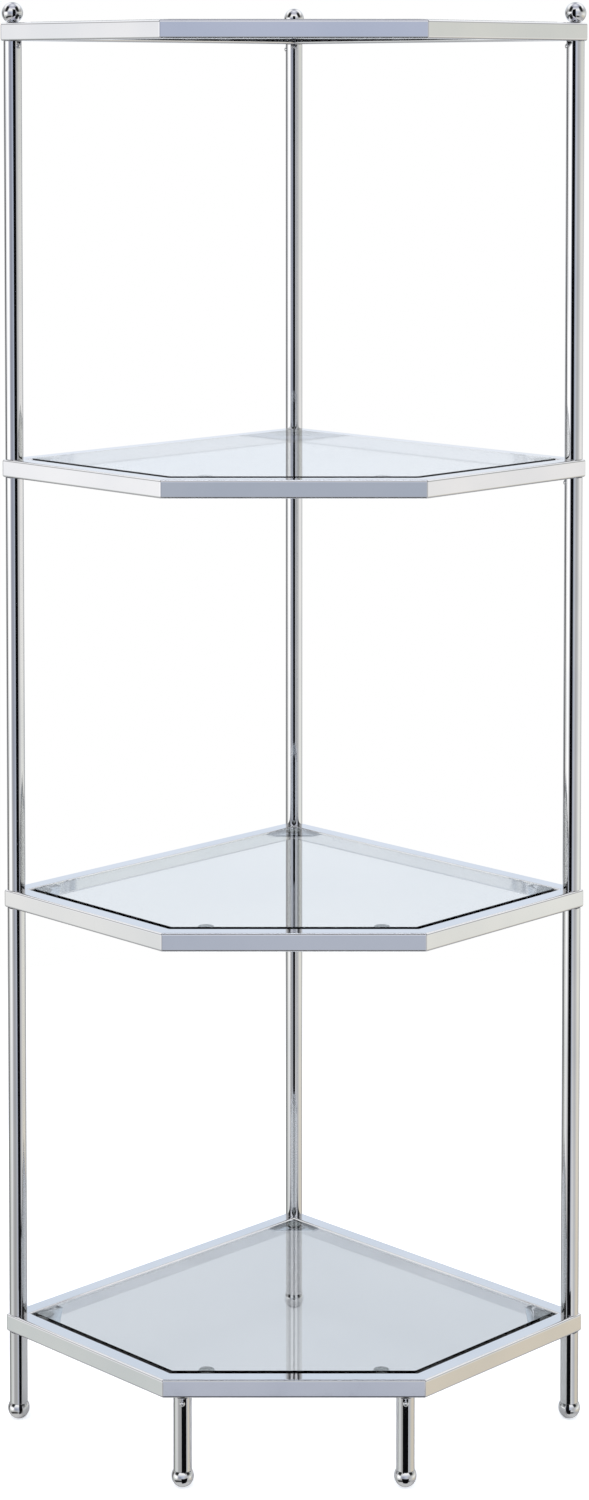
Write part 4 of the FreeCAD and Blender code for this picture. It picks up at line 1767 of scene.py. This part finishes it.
@dataclass
class DarkFlag:
    """Tall dark flag in front of the shelf, a little soft on its right, and its wider foot.

    The front rails are too near to the flag to catch it. The posts behind them do, also through a pane,
    and the legs catch the foot. A gap keeps second reflections out of the upper frame's back corner.
    """

    distance: float = 0.44
    near: float = 0.60
    span: Point = (-0.22, 0.25)
    soft: float = 0.035
    foot_span: Point = (-0.20, 0.42)
    heights: tuple[float, float, float] = (-0.9, -0.097, 2.0)
    gap_half_width: float = 0.12
    gap_level: float = 0.91
    gap_half_height: float = 0.04
    black: Colour = (0.008, 0.008, 0.01, 1.0)

    def cloth(
        self,
        name: str,
        span: Point,
        heights: Point,
    ) -> tuple[bpy.types.Object, NodeBench, bpy.types.Node]:
        """Upright dark cloth that only the chrome shows.

        Args:
            name: object name.
            span: left and right edge.
            heights: lower and upper edge.

        Returns:
            The cloth, the bench of its material and the shader in it.
        """
        depth = SIZES.front_y - self.distance
        (left, right), (low, high) = span, heights
        corners = [(left, depth, low), (left, depth, high), (right, depth, high), (right, depth, low)]
        cloth = flat_sheet(name, corners, (0, 1, 0))
        material, bench, shader = node_material(f"{name}_cloth")
        bench.fill(shader, {"Base Color": self.black, "Roughness": 1.0, "Specular IOR Level": 0.0})
        cloth.data.materials.append(material)
        cloth.visible_camera = False
        cloth.visible_diffuse = False
        cloth.visible_shadow = False
        return cloth, bench, shader

    def build(self) -> None:
        """Make the flag and its foot."""
        bottom, knee, top = self.heights
        left, edge = self.span
        foot, *_ = self.cloth("flag_foot", self.foot_span, (bottom, knee))
        foot.visible_transmission = False
        _, bench, shader = self.cloth("dark_flag", (left, edge + self.soft), (knee, top))
        parts, path = bench.split(bench.place()), bench.path()
        far = bench.calc("GREATER_THAN", path["Ray Length"], self.near)
        again = bench.calc("GREATER_THAN", path["Glossy Depth"], TWO_BOUNCES)
        one_pane = bench.calc("LESS_THAN", path["Transmission Depth"], PAST_ONE_PANE)
        through = bench.calc("MULTIPLY", path["Is Transmission Ray"], one_pane)
        across = bench.calc("COMPARE", parts["X"], 0.0, self.gap_half_width)
        level = bench.calc("COMPARE", parts["Z"], self.gap_level, self.gap_half_height)
        gap = bench.fold("MULTIPLY", again, across, level)
        caught = bench.calc("SUBTRACT", bench.fold("MAXIMUM", far, again, through), gap)
        reflected = bench.calc("GREATER_THAN", path["Glossy Depth"], ONE_BOUNCE)
        fading = bench.fade(parts["X"], edge, edge + self.soft, 1.0, 0.0)
        bench.feed(shader.inputs["Alpha"], bench.fold("MULTIPLY", fading, caught, reflected))


@dataclass
class OverheadLamp:
    """One soft lamp overhead, which the chrome doesn't show."""

    size: float = 1.6
    energy: float = 24.0
    place: tuple[float, float, float] = (-0.4, -0.5, 3.0)
    tilt: Point = (-8.0, -7.0)

    def build(self) -> None:
        """Make the lamp."""
        data = bpy.data.lights.new("overhead", "AREA")
        data.shape = "RECTANGLE"
        data.size = data.size_y = self.size
        data.energy = self.energy
        lamp = bpy.data.objects.new("overhead", data)
        lamp.location = self.place
        lamp.rotation_euler = (*(math.radians(angle) for angle in self.tilt), 0.0)
        lamp.visible_glossy = False
        bpy.context.scene.collection.objects.link(lamp)


def main() -> None:
    """Build the shelf and the studio."""
    logging.basicConfig(level=logging.INFO, format="%(message)s")
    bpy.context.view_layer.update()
    shop = Workshop()
    spreader = Spreader()
    for tier in Tier:
        RailFrame(tier).build(shop)
        Pane(tier).build(shop)
        PaneSupports(tier).build(shop, spreader)
    standing = tubes()
    for tube in standing:
        tube.build(shop)
    ChromeBalls().build(shop, spreader)
    LockPins().build(shop, spreader, standing)
    HiddenFixings(frame["nodes"]).dress(shop)
    bpy.context.scene.view_settings.view_transform = "Standard"
    for stage in (PhotoCamera(), StudioFloor(), CardRoom(), DarkFlag(), OverheadLamp()):
        stage.build()


if __name__ == "__main__":
    main()
